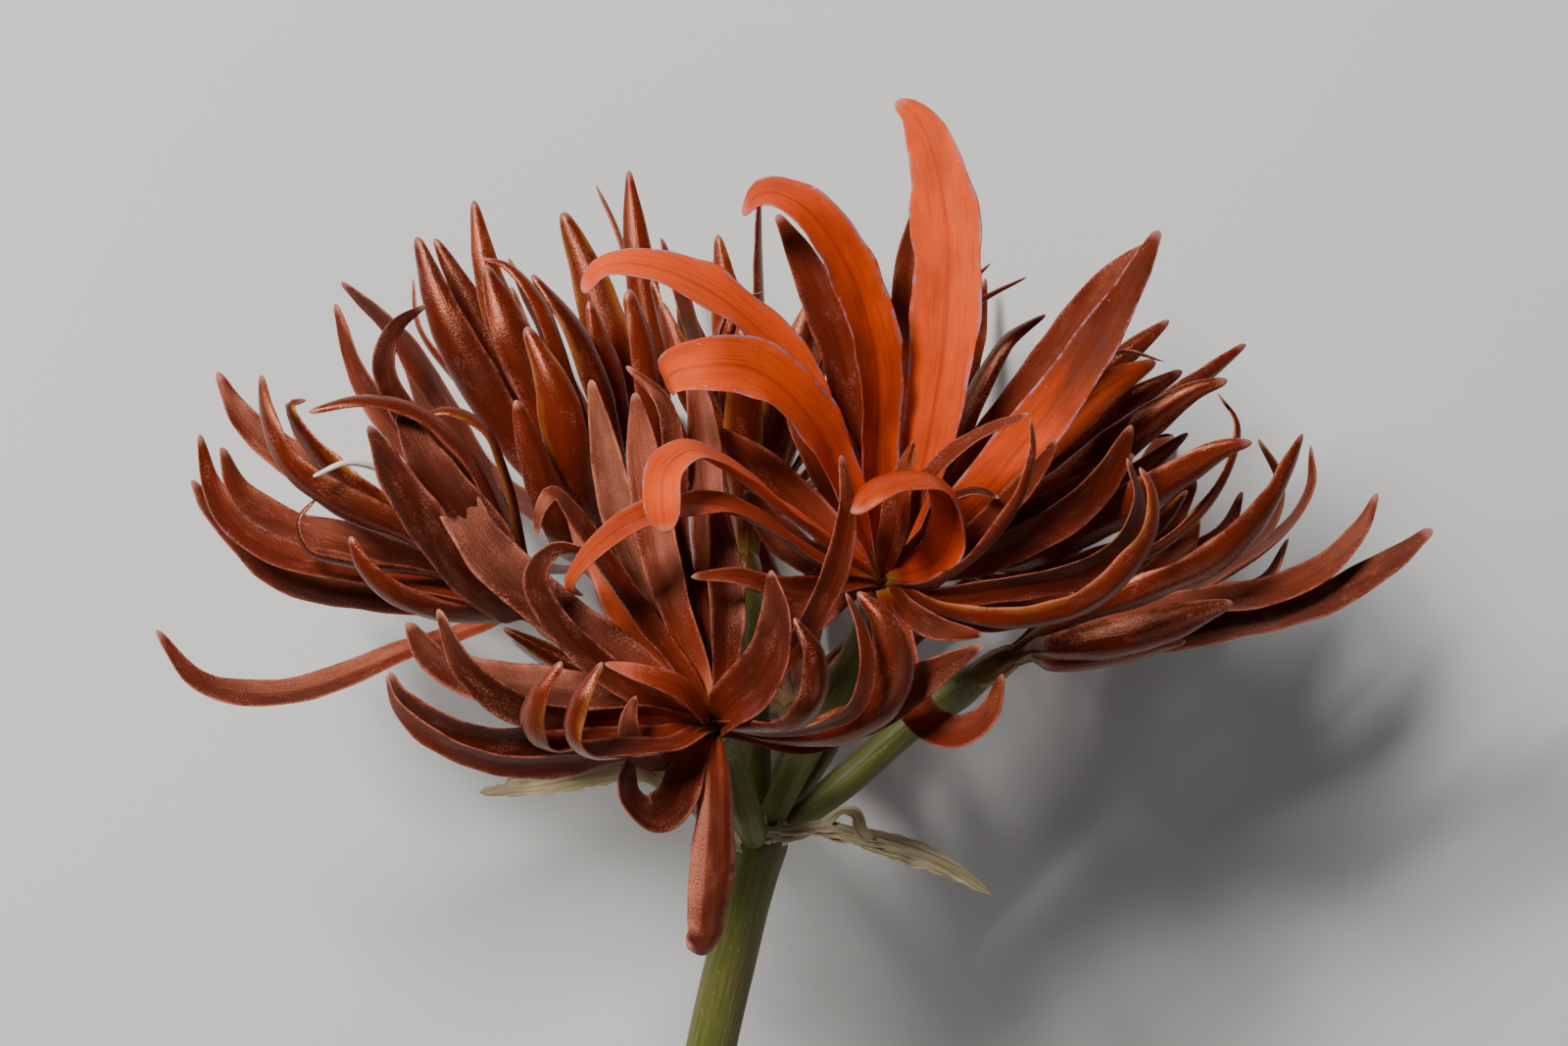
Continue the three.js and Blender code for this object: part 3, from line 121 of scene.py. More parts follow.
BLOOMS = (
    Flower("front", throat=(-6.8, 12.3, 26), facing=(-0.08, 0.2, 0.98), tepals=(
        Tepal(5.6, ((-7.2, 8, 30), (-7.6, 0, 33), (-8.1, -8, 33.5), (-8.6, -12.6, 33),
            (-10.2, -14.2, 35.5)), face=(0.25, 0.1, 1), tip=0.55, bowed=True),
        Tepal(5.4, ((-9, 7.4, 30), (-10.8, 2.8, 33), (-13.4, 1.4, 35), (-16.2, 4, 36),
            (-16.2, 8.8, 35.5)), face=(0.3, 0.3, 0.9), claw=0.5),
        Tepal(3.4, ((-10, 10.5, 30), (-13.5, 8.5, 33), (-16.5, 9.8, 35), (-17.1, 13, 35.5),
            (-16.2, 16, 35)), claw=0.5),
        Tepal(5.4, ((-14, 12.6, 27), (-24, 11.2, 29), (-33, 10.6, 30), (-39.6, 12.6, 30),
            (-43.8, 15.8, 29), (-45.6, 18.8, 28))),
        Tepal(4.6, ((-14, 10.2, 30), (-23, 8.5, 33), (-32, 8.2, 34.5), (-39.4, 10.8, 34.5),
            (-44.4, 14.6, 33.5), (-46, 18.4, 32.5))),
        Tepal(4.6, ((-14, 13.8, 31), (-23, 13.2, 34), (-30, 14.6, 36), (-36, 19, 37),
            (-39.7, 26.3, 36))),
        Tepal(6.4, ((-16, 15.5, 24), (-27, 16.6, 23), (-35.6, 17.8, 22), (-40.6, 20.6, 21),
            (-43.6, 25, 20)), face=(0.3, 0.5, 0.8)),
        Tepal(4.6, ((-13, 10.6, 32), (-20, 10, 34.5), (-26.4, 9.2, 36.5), (-28.6, 11, 40),
            (-27.8, 15.2, 43), (-24.8, 19.8, 43.5)), face=(0, 0.87, 0.5), tip=0.2),
        Tepal(4.6, ((-12, 9.8, 35), (-17.2, 9.2, 38.5), (-22, 9, 41), (-24.1, 11, 44.2),
            (-23.1, 15.4, 46.4), (-20.1, 20, 46.4)), face=(0, 0.87, 0.5)),
        Tepal(2.8, ((-8.5, 14.3, 32), (-11, 17, 36), (-15.5, 18.6, 37.5),
            (-19.8, 19.8, 37)), claw=0.6),
        Tepal(4.2, ((-12, 14.5, 30), (-20, 19.6, 32), (-26.2, 25.8, 34), (-28, 30.3, 35),
            (-25.5, 33.6, 36), (-21, 33.2, 37)), wide=0.4, tip=0.14),
        Tepal(4.6, ((-9.5, 17, 28), (-15, 24.4, 27), (-20.5, 32.4, 27.5), (-24, 38, 28.5),
            (-26, 40.2, 29), (-27.6, 38, 29.5), (-28, 35, 29.5)), tip=0.1, wide=0.45),
        Tepal(5, ((-8.5, 18, 26), (-12, 27, 26), (-14.5, 37, 24), (-15.5, 45, 22),
            (-16.2, 52.5, 19))),
        Tepal(5.4, ((-10.4, 18, 25), (-14.6, 24.4, 25), (-18.6, 30.2, 25), (-21.8, 34.4, 24))),
        Tepal(4.6, ((-5.6, 18, 27), (-5.2, 25, 28), (-5.6, 33, 27), (-6.8, 39.6, 25))),
        Tepal(4.4, ((-7.5, 18, 24), (-8, 28, 23), (-8.6, 40, 21), (-9.2, 50, 18), (-10.8, 58, 16))),
        Tepal(4.6, ((-9.5, 18, 24), (-14, 28, 22), (-18, 38, 20), (-20, 47, 17),
            (-21.4, 53.8, 15))),
        Tepal(7, ((-4.5, 14.8, 32), (-0.6, 18.4, 36), (1.2, 24, 38.5), (0.2, 31, 38.5)),
            face=(-0.55, 0, 0.83), claw=0.5, wide=0.5),
        Tepal(2.6, ((-2, 11.8, 31), (5, 12.2, 35.5), (10, 14.4, 38), (11.6, 19, 39.5),
            (11, 24, 39.5),
            (9.2, 28.3, 38.5))),
        Tepal(5.4, ((0, 11, 29), (8, 11.5, 32), (13.6, 14.8, 34.5), (15, 20, 36), (13.6, 25, 36),
            (10.6, 28.4, 35)), face=(-0.6, 0.1, -0.8), claw=0.5),
        Tepal(4, ((-1.5, 12, 34), (3, 12.3, 39), (5.4, 15.6, 42.6), (5.4, 21, 43.6), (3, 25.3, 43)),
            face=(-0.6, 0.1, -0.8), claw=0.5),
        Tepal(4.8, ((4, 11, 27), (12, 13.8, 29), (19.5, 18.6, 31), (25.6, 22, 31.5)), claw=0.5),
        Tepal(4, ((-3, 15.5, 29), (3, 22.5, 30), (7.5, 31, 29), (9, 39, 27), (8.4, 45, 25))),
        Tepal(3.2, ((-8, 20, 22), (-11, 34, 22), (-11.2, 43, 22.5), (-12.7, 51, 22),
            (-17.1, 55.2, 20))),
        Tepal(6.2, ((-13, 17.6, 28), (-21.8, 23.8, 28), (-27.6, 28.2, 28), (-33.5, 33.6, 27.5),
            (-37.4, 39.2, 26.5)), tip=0.86, channel=0.2, wide=0.55, face=(0.3, 0.2, 0.93), torn=True),
        Tepal(5, ((-12, 22, 20), (-17, 28, 18), (-21, 33, 16), (-24, 38, 14))),
    )),
    Flower("centre", throat=(13.7, 29.5, 12), facing=(0.1, 0.45, 0.88), tepals=(
        Tepal(8.6, ((18.2, 42, 15), (20.9, 57, 17), (21.4, 69, 16), (19.9, 79.4, 13),
            (17.6, 85, 11),
            (15.2, 87, 9)), face=(-0.15, 0, 1), channel=0.2, wide=0.62),
        Tepal(7.6, ((12.8, 42, 17), (12.8, 55, 21), (9.8, 66, 24), (4.2, 74.2, 25), (-0.6, 76, 24),
            (-3.2, 73.6, 22.5)), face=(0.45, 0.35, 0.85), tip=0.4),
        Tepal(5.8, ((11, 42, 13), (8, 57, 15), (3.2, 69, 15.5), (0.8, 73.6, 14))),
        Tepal(7.2, ((9.5, 43, 15), (3, 56, 19), (-5.5, 64, 23), (-14, 67.6, 25), (-19.6, 67.4, 25),
            (-22.2, 64.4, 24)), face=(0.4, 0.6, 0.7), tip=0.3),
        Tepal(8.2, ((9.8, 40, 19), (5.5, 49.3, 25), (-1, 55, 30), (-7, 55.6, 33), (-11.3, 54.6, 32),
            (-11.6, 52.6, 29.5)), face=(0.35, 0.5, 0.8), tip=0.5),
        Tepal(5.2, ((7.5, 34, 19), (1, 38.8, 25), (-5, 43.2, 30), (-9.6, 45.2, 34),
            (-12.6, 42.8, 37),
            (-12.9, 39, 38.5), (-12.4, 35.6, 38)), tip=0.75),
        Tepal(4.6, ((6.5, 31.5, 20), (0, 35.8, 26), (-6, 38.4, 31), (-12, 37.9, 35),
            (-18, 35.6, 37.5),
            (-22.3, 31.8, 38.5), (-24, 29, 38), (-22.4, 27.8, 36.5))),
        Tepal(3.2, ((7, 29, 20), (1.5, 28.7, 28), (-4, 30.2, 32), (-9.4, 30.2, 34))),
        Tepal(4.6, ((20, 28.6, 19), (30, 30, 23), (38, 31.8, 24), (42.3, 35, 23.5), (44, 39.5, 22),
            (43, 44.8, 20))),
        Tepal(4.6, ((19, 26.5, 19), (27, 24.4, 23), (36, 25.6, 25.5), (42, 29.6, 25.5),
            (45.8, 35.5, 24.5), (45.8, 40.5, 23), (44.3, 43, 22))),
        Tepal(7.2, ((17.4, 30, 17), (20.4, 31.6, 20), (22, 35.4, 23.5), (20.6, 39.8, 27),
            (16.6, 41.4, 30), (12.4, 40.4, 32), (9.8, 37.4, 33)),
            face=(-0.75, -0.45, 0.35), tip=0.7, claw=0.5),
        Tepal(6.8, ((24.4, 37, 14), (32.8, 46, 16), (38.9, 54.6, 16), (43.8, 63.4, 14.5),
            (47, 71.2, 12)),
            face=(-0.2, 0.1, 1), channel=0.2, wide=0.36, claw=0.5),
        Tepal(6, ((22, 39, 9), (30.6, 50.4, 9), (36.5, 58.5, 9), (41, 65.5, 9.5), (45.5, 70, 10))),
        Tepal(2.6, ((16.5, 35, 20), (20, 42.3, 25), (25, 46.5, 27), (31.3, 49.5, 26.5))),
        Tepal(2.8, ((20, 31, 20), (26, 35.5, 25), (30, 41, 28), (31.6, 46, 28.5), (31.4, 49.8, 28)),
            face=(-0.75, 0.3, -0.6)),
        Tepal(2.4, ((19.5, 36.4, 18), (22.5, 39.6, 20.5), (25, 40.4, 22), (27.6, 39.6, 22.5))),
        Tepal(3.4, ((22, 34, 15), (28, 39, 19), (32.5, 44, 20), (34.3, 46.8, 20))),
        Tepal(3.6, ((15.5, 36, 21), (16.5, 42, 23), (17.8, 46.6, 23)), torn=True),
        Tepal(6.2, ((24, 36, 8), (33, 45, 8), (40, 51.5, 6), (46.5, 55.8, 4))),
        Tepal(5.4, ((9, 34, 14), (4, 38.6, 14), (-1.6, 43.4, 14), (-7, 48.4, 13))),
        Tepal(6.4, ((10, 29.6, 14), (6.6, 28, 15), (4, 25, 15),
            (2.8, 21, 14)), face=(0.6, 0.4, 0.7)),
        Tepal(5.4, ((22, 33, 13), (32, 38, 15), (39, 43, 15), (43.2, 49, 13.5))),
        Tepal(5, ((15.5, 22.5, 19), (16.4, 17, 22), (18.9, 12.6, 25), (22.6, 11.2, 26.5),
            (26.2, 13.4, 27), (28, 18.6, 26.5)), claw=0.5),
        Tepal(4.6, ((15.3, 41, 9), (16.4, 56, 8), (16.6, 67, 8), (17.8, 75.2, 9))),
        Tepal(3.2, ((17, 26.2, 18), (20.5, 24.2, 21), (25.8, 23.4, 23))),
        Tepal(4, ((12, 42, 7), (12.8, 56, 6), (11.8, 69, 6))),
        Tepal(5, ((19, 27, 10), (25, 25.4, 8.5), (31, 25.8, 7.5), (37, 28, 6.5))),
        Tepal(4.4, ((8.5, 30.5, 12), (4.5, 32.6, 11), (0.5, 36, 10), (-3, 40.6, 9))),
        Tepal(6, ((22, 32, 9), (31, 35, 8), (39, 39, 6), (45, 44, 4))),
        Tepal(5, ((10, 37, 9), (6, 45, 6), (3, 53, 4), (0, 60, 2))),
    )),
    Flower("left", throat=(-28, 26, 4), facing=(-0.75, 0.6, 0.25), tepals=(
        Tepal(4, ((-35, 24, 4), (-43, 21.4, 4), (-50, 18.5, 4), (-56.5, 16.4, 4), (-63, 16, 4),
            (-69, 18, 4), (-73.6, 23.8, 3)), face=(0.1, 0.6, 0.8)),
        Tepal(4.4, ((-36, 28, 6), (-48, 30.5, 8), (-58, 32.5, 9), (-64, 36, 9), (-67, 41, 8),
            (-68.4, 47.3, 7)), face=(0.3, 0.55, 0.8)),
        Tepal(5, ((-36, 27, 0), (-48, 28, 0), (-57, 30, 0), (-62.6, 34, -1), (-66.8, 38.4, -2),
            (-69.2, 42, -3)), face=(0.2, 0.5, 0.85)),
        Tepal(6.2, ((-37, 28.5, -1), (-49, 32.5, -4), (-58, 35.6, -6), (-63.6, 39.6, -7),
            (-65.9, 45.6, -8)), face=(0.1, 0.55, 0.8), wide=0.5),
        Tepal(5, ((-33, 25, 11), (-39, 25.2, 16), (-45, 27.5, 19), (-49, 31.5, 20),
            (-50.3, 34.9, 20))),
        Tepal(5, ((-34, 31, 12), (-43, 36, 16), (-51, 39.5, 18), (-57, 44, 18), (-59.8, 49.5, 17),
            (-60.8, 54.6, 15))),
        Tepal(5, ((-36, 32, 4), (-47, 38, 3), (-57, 44, 1), (-63, 49, 0), (-66.3, 54.8, -1))),
        Tepal(5.6, ((-36, 31.5, 8), (-45, 37, 9), (-52, 42, 8), (-56.3, 47.2, 7),
            (-57.6, 50.8, 6.5),
            (-55.6, 51.4, 6))),
        Tepal(6.6, ((-33, 28, 15), (-39, 34, 20), (-44, 41, 22), (-48, 48.6, 21)),
            channel=0.4, face=(0.5, 0.2, 0.8)),
        Tepal(6.4, ((-32, 29, 12), (-37, 35.5, 15), (-42, 42, 16), (-45.4, 49.4, 15)),
            face=(0.3, 0.1, 0.95)),
        Tepal(4, ((-31, 31, 10), (-34, 39, 14), (-38, 46, 17), (-43.5, 50, 19), (-49.5, 51, 20),
            (-55.5, 49.8, 20))),
        Tepal(3.8, ((-29.5, 33, 6), (-31.5, 42, 8), (-34.5, 48.5, 10), (-38.5, 50.3, 11),
            (-42.5, 49, 11))),
        Tepal(3.6, ((-32, 34, 2), (-38, 43, 4), (-44, 50, 6), (-46.4, 55.5, 7), (-45, 60, 7),
            (-41.2, 62.8, 6)), face=(0.65, -0.3, 0.7)),
        Tepal(3.8, ((-34, 36, -4), (-43, 46, -6), (-49, 54, -7), (-52.1, 63, -8))),
        Tepal(5, ((-31, 36, 0), (-38, 50, -2), (-45, 60, -3), (-51.4, 65.6, -4))),
        Tepal(2.4, ((-40, 30.5, 9), (-50, 31.8, 13), (-55.5, 33.5, 14), (-56.6, 37, 14),
            (-54.3, 39.8, 14))),
        Tepal(3.6, ((-36, 27, -8), (-45, 29, -18), (-52, 32, -26), (-57, 36.5, -30))),
        Tepal(3.6, ((-36, 30, -8), (-46, 36, -18), (-54, 43, -25), (-58, 51, -29))),
    )),
    Flower("right", throat=(29.4, 20.9, 2), facing=(0.82, 0.52, 0.22), tepals=(
        Tepal(5.8, ((34, 21.8, 9), (41, 22.8, 12), (48.5, 24.9, 13),
            (55.6, 27.3, 13)), channel=0.5),
        Tepal(5.4, ((36, 20.8, 2), (46, 22.2, 2), (56, 24.3, 2), (66, 27, 2), (74, 31.4, 1),
            (79.6, 35.9, 0)), tip=0.26, face=(-0.1, 0.6, 0.8)),
        Tepal(4.4, ((38, 24, 5), (50, 26.7, 5), (60, 28.2, 4), (67, 31.5, 3), (71, 36, 2),
            (73, 40.2, 1)),
            face=(-0.3, 0.5, 0.8)),
        Tepal(4.8, ((36, 25, 10), (44, 28, 12), (53, 32, 12), (59.5, 38.5, 10), (63.9, 47.3, 8))),
        Tepal(5, ((34, 25, -2), (43, 28, -3), (48.5, 32, -4), (51.4, 37.5, -5))),
        Tepal(4.8, ((34.6, 26, -4), (40, 30, -7), (45.6, 35.6, -10), (51, 42, -12))),
        Tepal(3.2, ((40, 25, -4), (52, 29, -6), (61, 35, -8), (65, 41, -9), (64.9, 46, -10))),
        Tepal(3.2, ((38, 25, -8), (50, 30, -12), (59.5, 36.5, -14), (61, 42, -15),
            (58.5, 47, -16))),
        Tepal(4.6, ((40, 22.5, -5), (52, 26, -8), (59.5, 29.6, -9), (62.3, 35, -10))),
        Tepal(3.6, ((38, 26, -10), (48, 31, -15), (55, 35.5, -18), (57, 40.4, -19))),
        Tepal(4.8, ((34, 19.4, 7), (42, 20.2, 8), (50, 22.5, 8))),
        Tepal(3.8, ((36, 22, -8), (46, 24, -18), (54, 27, -26), (59, 30, -30))),
        Tepal(3.6, ((34, 25, -12), (41, 31, -23), (46, 36, -31), (50, 41, -37))),
    )),
    Flower("back_left", throat=(-20, 30, -12), facing=(-0.4, 0.85, -0.33), tepals=(
        Tepal(5.8, ((-25, 39, -8), (-33, 50, -6), (-39, 61, -6), (-42.4, 71, -8))),
        Tepal(4.6, ((-23, 41, -13), (-30, 52, -15), (-36.5, 64, -16), (-40.2, 70.8, -17))),
        Tepal(4.8, ((-22, 42, -11), (-29, 54, -11), (-33.6, 66, -12), (-35.5, 75.4, -14))),
        Tepal(6.2, ((-21.5, 40, -5), (-26, 50, -1), (-31, 60, 0), (-34, 67.6, -2))),
        Tepal(3.4, ((-20, 40, 0), (-23.5, 52, 4), (-27, 62, 5), (-31, 67, 4), (-34, 68.2, 3))),
        Tepal(4.4, ((-17.5, 38, -3), (-19.5, 49, 2), (-23, 58.5, 4), (-28.8, 66, 3))),
        Tepal(6.2, ((-21.5, 37, 1), (-23.8, 44, 8), (-26, 53, 10), (-29.3, 60, 9)),
            channel=0.45, face=(-0.1, 0.2, -1)),
        Tepal(6.2, ((-16.6, 41, -9), (-18, 52, -10), (-21, 64, -11), (-24.8, 74, -13)),
            face=(0.1, 0.1, -1)),
        Tepal(4.6, ((-13.6, 44, -15), (-13.8, 58, -18), (-15.4, 70, -19), (-16.4, 78.8, -21)),
            face=(0.1, 0.1, -1)),
        Tepal(3.2, ((-12.5, 46, -19), (-15, 60, -22), (-18, 71, -24), (-20.8, 77.2, -25))),
        Tepal(5.8, ((-15.4, 39, -3), (-14.6, 48, 3), (-15.4, 57, 5), (-17.3, 64.8, 4)),
            channel=0.5, tip=0.3),
        Tepal(4.6, ((-17.5, 41, -5), (-18.5, 52, -3), (-21.7, 63.3, -3))),
        Tepal(5.4, ((-22.5, 36, 4), (-26.5, 44, 11),
            (-30, 52.3, 12)), channel=0.5, face=(-0.2, 0.2, -1)),
        Tepal(3.2, ((-19, 42, -21), (-25, 56, -26), (-31.3, 68.5, -28))),
        Tepal(2.6, ((-26, 42, -17), (-36, 52, -21), (-42, 60, -22), (-42.8, 66, -23))),
        Tepal(4.4, ((-26, 36, -24), (-34, 42, -36), (-40, 49, -46),
            (-43, 56, -53)), foot=True, tip=0.6),
        Tepal(4, ((-20.5, 38, -26), (-24, 48, -36), (-29, 58, -42), (-31, 65, -44))),
        Tepal(3.6, ((-28, 31, -24), (-38, 33, -34), (-46, 37, -40), (-50, 43, -43))),
    )),
    Flower("top", throat=(-2.8, 33, -8), facing=(-0.05, 0.95, -0.25), tepals=(
        Tepal(4, ((-2, 46, -12), (-1, 58, -14), (-1.2, 70, -15), (-1.3, 77.8, -15))),
        Tepal(5, ((-4, 47, -8), (-5, 58, -8), (-6.3, 71.2, -9)), face=(0.2, 0.1, -1)),
        Tepal(4.6, ((-6, 44, -9), (-9.4, 52, -9), (-12, 59, -10), (-14, 66, -11))),
        Tepal(4.6, ((-5, 44, -3), (-8.6, 51, -1), (-11, 57, -1), (-13, 63.2, -2))),
        Tepal(3.6, ((-6, 45, -17), (-9, 56, -22), (-10.4, 63, -24), (-8.4, 67.8, -25))),
        Tepal(2, ((-6, 47, -4), (-6.4, 58, -4), (-4, 63, -4), (-0.6, 64.4, -4))),
        Tepal(5.4, ((0, 45, -6), (2.5, 55, -5), (5.4, 64, -6)), face=(0, 0.1, -1)),
        Tepal(5, ((-3.4, 42, -2), (-3.4, 49, 1), (-3, 56, 2), (-3.4, 61.6, 1))),
        Tepal(4.6, ((2, 44, -10), (6, 53, -12), (7.4, 60.8, -13))),
        Tepal(3.4, ((-6, 46, -14), (-9.5, 58, -18), (-13.6, 71, -20))),
        Tepal(3, ((5, 46, -15), (16, 58, -19), (26.6, 67.8, -21))),
        Tepal(3, ((6, 44, -12), (17, 55, -14), (25, 63, -15), (31, 66.2, -16))),
        Tepal(4, ((-4, 43, -20), (-7, 52, -32), (-10, 61, -40), (-11, 68, -44))),
        Tepal(4, ((1.5, 43, -20), (5, 53, -31), (8, 63, -38), (9, 71, -42))),
        Tepal(3.6, ((5, 41, -18), (14, 49, -28), (21, 57, -35), (25, 65, -38))),
        Tepal(3.4, ((-9, 41, -18), (-16, 48, -27), (-21, 58, -33), (-23, 66, -35))),
    )),
    Flower("back_right", throat=(19, 30, -15), facing=(0.55, 0.72, -0.42), tepals=(
        Tepal(5.2, ((30, 38, -18), (42, 46, -20), (51, 53, -21), (57.2, 58.1, -22))),
        Tepal(5.2, ((27, 34, -7), (37, 41, 1), (46, 48, 5), (51.5, 52, 6), (55.4, 53.4, 6))),
        Tepal(5, ((27, 36, -10), (37, 44.5, -5), (44, 51, -3), (49.6, 54.8, -3))),
        Tepal(5.6, ((28, 32, -4), (38, 37, 4), (47, 42.5, 8), (53, 46, 9), (56.7, 47, 9))),
        Tepal(2.4, ((30, 29, -4), (42, 32, -1), (50, 37, 0), (54.7, 43, 1), (56.2, 49, 1),
            (53.8, 52.5, 0))),
        Tepal(4.4, ((26, 40, -17), (35, 50, -19), (43, 57, -20), (48, 61, -21))),
        Tepal(2.4, ((28, 43, -13), (36, 53, -11), (42, 57.2, -10), (47.5, 56, -10))),
        Tepal(4.4, ((29, 34, -9), (40, 39.5, -5), (50.3, 47.6, -4))),
        Tepal(3.8, ((21.5, 44, -8), (25, 53, -6), (28.5, 58.5, -6), (33.2, 61.7, -7))),
        Tepal(3.8, ((29, 28.5, -10), (40, 31, -6), (47, 35, -5), (50.6, 40, -6))),
        Tepal(4, ((24, 36, -28), (31, 44, -38), (38, 52, -44), (42, 60, -46))),
        Tepal(4.4, ((28, 32, -26), (37, 36, -38), (44, 41, -47),
            (48, 47, -53)), foot=True, tip=0.6),
        Tepal(3.6, ((20, 38, -30), (22, 49, -40), (25, 59, -46), (26, 66, -48))),
    )),
    Flower("rear", throat=(3, 14, -27), facing=(0.05, 0.35, -0.93), tepals=(
        Tepal(4.2, ((8, 20, -37), (16, 24, -44), (25, 28, -48), (34, 32, -49))),
        Tepal(4, ((-2, 16, -37), (-12, 17, -44), (-22, 19, -48), (-32, 24, -49))),
        Tepal(4.4, ((4, 20, -37), (6, 30, -45), (9, 41, -49), (11, 51, -49))),
        Tepal(4, ((0, 21, -36), (-5, 31, -44), (-9, 42, -48), (-12, 51, -49))),
        Tepal(3.8, ((9, 20, -35), (17, 28, -42), (25, 35, -47), (31, 42, -49))),
        Tepal(3.8, ((-4, 20, -35), (-13, 27, -41), (-22, 34, -46), (-30, 41, -48))),
        Tepal(3.6, ((12, 22, -34), (22, 27, -38), (32, 31, -41), (40, 36, -43))),
        Tepal(3.6, ((-3, 15, -34), (-13, 14.5, -38), (-23, 15, -41), (-32, 18, -43))),
        Tepal(3.4, ((7, 16, -38), (13, 20, -45), (19, 25, -49), (25, 31, -50))),
        Tepal(3.4, ((-1, 14, -38), (-8, 13, -45), (-15, 13, -49), (-22, 15, -50))),
        Tepal(3.2, ((3, 18, -40), (2, 23, -47), (0, 30, -50), (-2, 37, -50))),
    )),
)

SCAPE_LINE = (
    (-46, -238, -49), (-38, -190, -46), (-27, -130, -32), (-15.5, -72, -17), (-6.9, -26, -5.5),
    (-4.4, -15, -3), (-2.3, -6, -0.8), (-1.3, -2.2, 0),
)
BRACTS = {
    "left": (
        Tepal(3.4, ((-2.2, -3, 1.6), (-4.8, -1.6, 3.6), (-7.8, 1.2, 5.6), (-12, 5, 8), (-17, 7, 9),
            (-25, 5.6, 9), (-34.8, 4.3, 8))),
    ),
    "right": (
        Tepal(3.1, ((0.2, -1.6, 2.2), (3, -0.5, 4.2), (6.4, -0.2, 5.8), (10, -1.2, 7),
            (13.4, -2.1, 8),
            (18.2, -3.4, 8), (22.9, -5.6, 7), (26.7, -8, 6)), claw=0.4, wide=0.5),
        Tepal(1.5, ((6.2, 0.1, 5.6), (8.6, 1.9, 7), (10.4, 1.7, 8), (11, -0.2, 8.2),
            (12.4, -1.6, 8)),
            claw=1, tip=1),
    ),
}
FILAMENT_LINE = (
    (-30.2, 28.6, 9), (-35.4, 34.4, 11), (-41, 39.6, 13.5), (-46, 42.8, 17.5), (-50.6, 43.9, 20.5),
    (-54.8, 42.2, 22),
)


class Tone(Enum):
    """The colour that a tepal shows most, partly from the light or shade that it lies in."""

    # The lit and red tones are for tepals that face the light: their brighter colours are partly
    # their own and partly painted light.
    LIT = "l"
    RED = "r"
    FADING = "f"
    COPPER = "c"
    # This tone is for tepals that lie in shade: it takes a negative share of the red, as painted
    # shade.
    DUSK = "d"

    def shares(self) -> tuple[float, float, float]:
        """How much of the flame colour and of the red it has, and how much it fades to its tip."""
        return TONE_SHARES[self]


TONE_SHARES = {
    Tone.LIT: (1.0, 1.0, 0.0),
    Tone.RED: (0.1, 0.9, 0.0),
    Tone.FADING: (1.0, 0.1, 1.0),
    Tone.COPPER: (0.0, 0.0, 0.0),
    Tone.DUSK: (0.0, -0.3, 0.0),
}


@dataclass(frozen=True)
class Mood:
    """How much painted shade and dust its tepals have, and their tones, copper after the last."""

    painted_shade: float = 0.0
    dust_and_lit_band: float = 0.0
    tones: str = ""

    def tone(self, order: int) -> Tone:
        """The tone of one of the bloom's tepals."""
        return Tone(self.tones[order : order + 1] or Tone.COPPER.value)


# The first number is painted shade, which darkens the blooms that lie in shade, and the second is
# dust. In the tones, l and r are partly painted light and d is painted shade.
MOODS = {
    "front": Mood(0.6, 0.15, "cccccccccrcccrcccccccccccd"),
    "centre": Mood(tones="lldlllrccclfcccccdrcccccccdddd"),
    "left": Mood(0.55),
    "right": Mood(0.25, 0.1),
    "back_left": Mood(0.3),
    "top": Mood(0.3),
    "back_right": Mood(0.2),
    "rear": Mood(0.5),
}


def unit(v: np.ndarray) -> np.ndarray:
    """Vectors of length one."""
    return v / np.maximum(np.linalg.norm(v, axis=-1, keepdims=True), 1e-12)


def dot(a: np.ndarray, b: np.ndarray) -> np.ndarray:
    """Products of vectors, with the last axis kept."""
    return (a * b).sum(-1, keepdims=True)


def square_to(v: np.ndarray, axis: np.ndarray) -> np.ndarray:
    """The part of v that is square to a unit axis, at length one."""
    return unit(v - axis * dot(v, axis))


def smoothstep(x: np.ndarray, low: float, high: float) -> np.ndarray:
    """A smooth rise from 0 at low to 1 at high."""
    t = np.clip((np.asarray(x, float) - low) / (high - low), 0, 1)
    return t * t * (3 - 2 * t)


def rounded_end(share: np.ndarray, over: float) -> np.ndarray:
    """A factor that rounds a width off to nothing over the last part of a length."""
    return np.sqrt(np.clip(1 - ((share - 1 + over) / over).clip(0) ** 2, 0, 1))


def slab(y: np.ndarray, thickness: np.ndarray | float) -> np.ndarray:
    """Flattens a tube's height into the two sides of a slab with soft edges."""
    return np.sign(y) * np.abs(y) ** 0.6 * thickness


def turned(
    side: np.ndarray, normal: np.ndarray, angle: np.ndarray
) -> tuple[np.ndarray, np.ndarray]:
    """Turns the ways across a line and off its face about the line itself.

    Args:
        side: The ways across it.
        normal: The ways off its face.
        angle: How far to turn at each point.

    Returns:
        Both after the turn.
    """
    cos, sin = np.cos(angle)[:, None], np.sin(angle)[:, None]
    return side * cos + normal * sin, normal * cos - side * sin


def margin_waves(share: np.ndarray, length: float, rng: np.random.Generator) -> np.ndarray:
    """Makes slow uneven waves along a margin, about one for each 9 mm.

    Args:
        share: Shares of the length.
        length: The length, in millimetres.
        rng: Chance numbers.

    Returns:
        Heights about 0.
    """
    made = np.zeros_like(share)
    for step in (0.6, 1.0, 1.7):
        turns = step * length / 9 * rng.uniform(0.85, 1.15)
        made += np.sin(2 * math.pi * (turns * share + rng.uniform())) / step
    return made / 2


def seen(points: Sequence[Point]) -> np.ndarray:
    """Finds the real places of points that are given as the eye sees them.

    Args:
        points: Points whose x and y are as seen and whose z is real.

    Returns:
        One row for each point.
    """
    p = np.array(points, float)
    nearer = 1 - p[:, 2:] / EYE_HEIGHT
    eye = np.array(EYE)
    return np.hstack([eye + (p[:, :2] - eye) * nearer, p[:, 2:]])


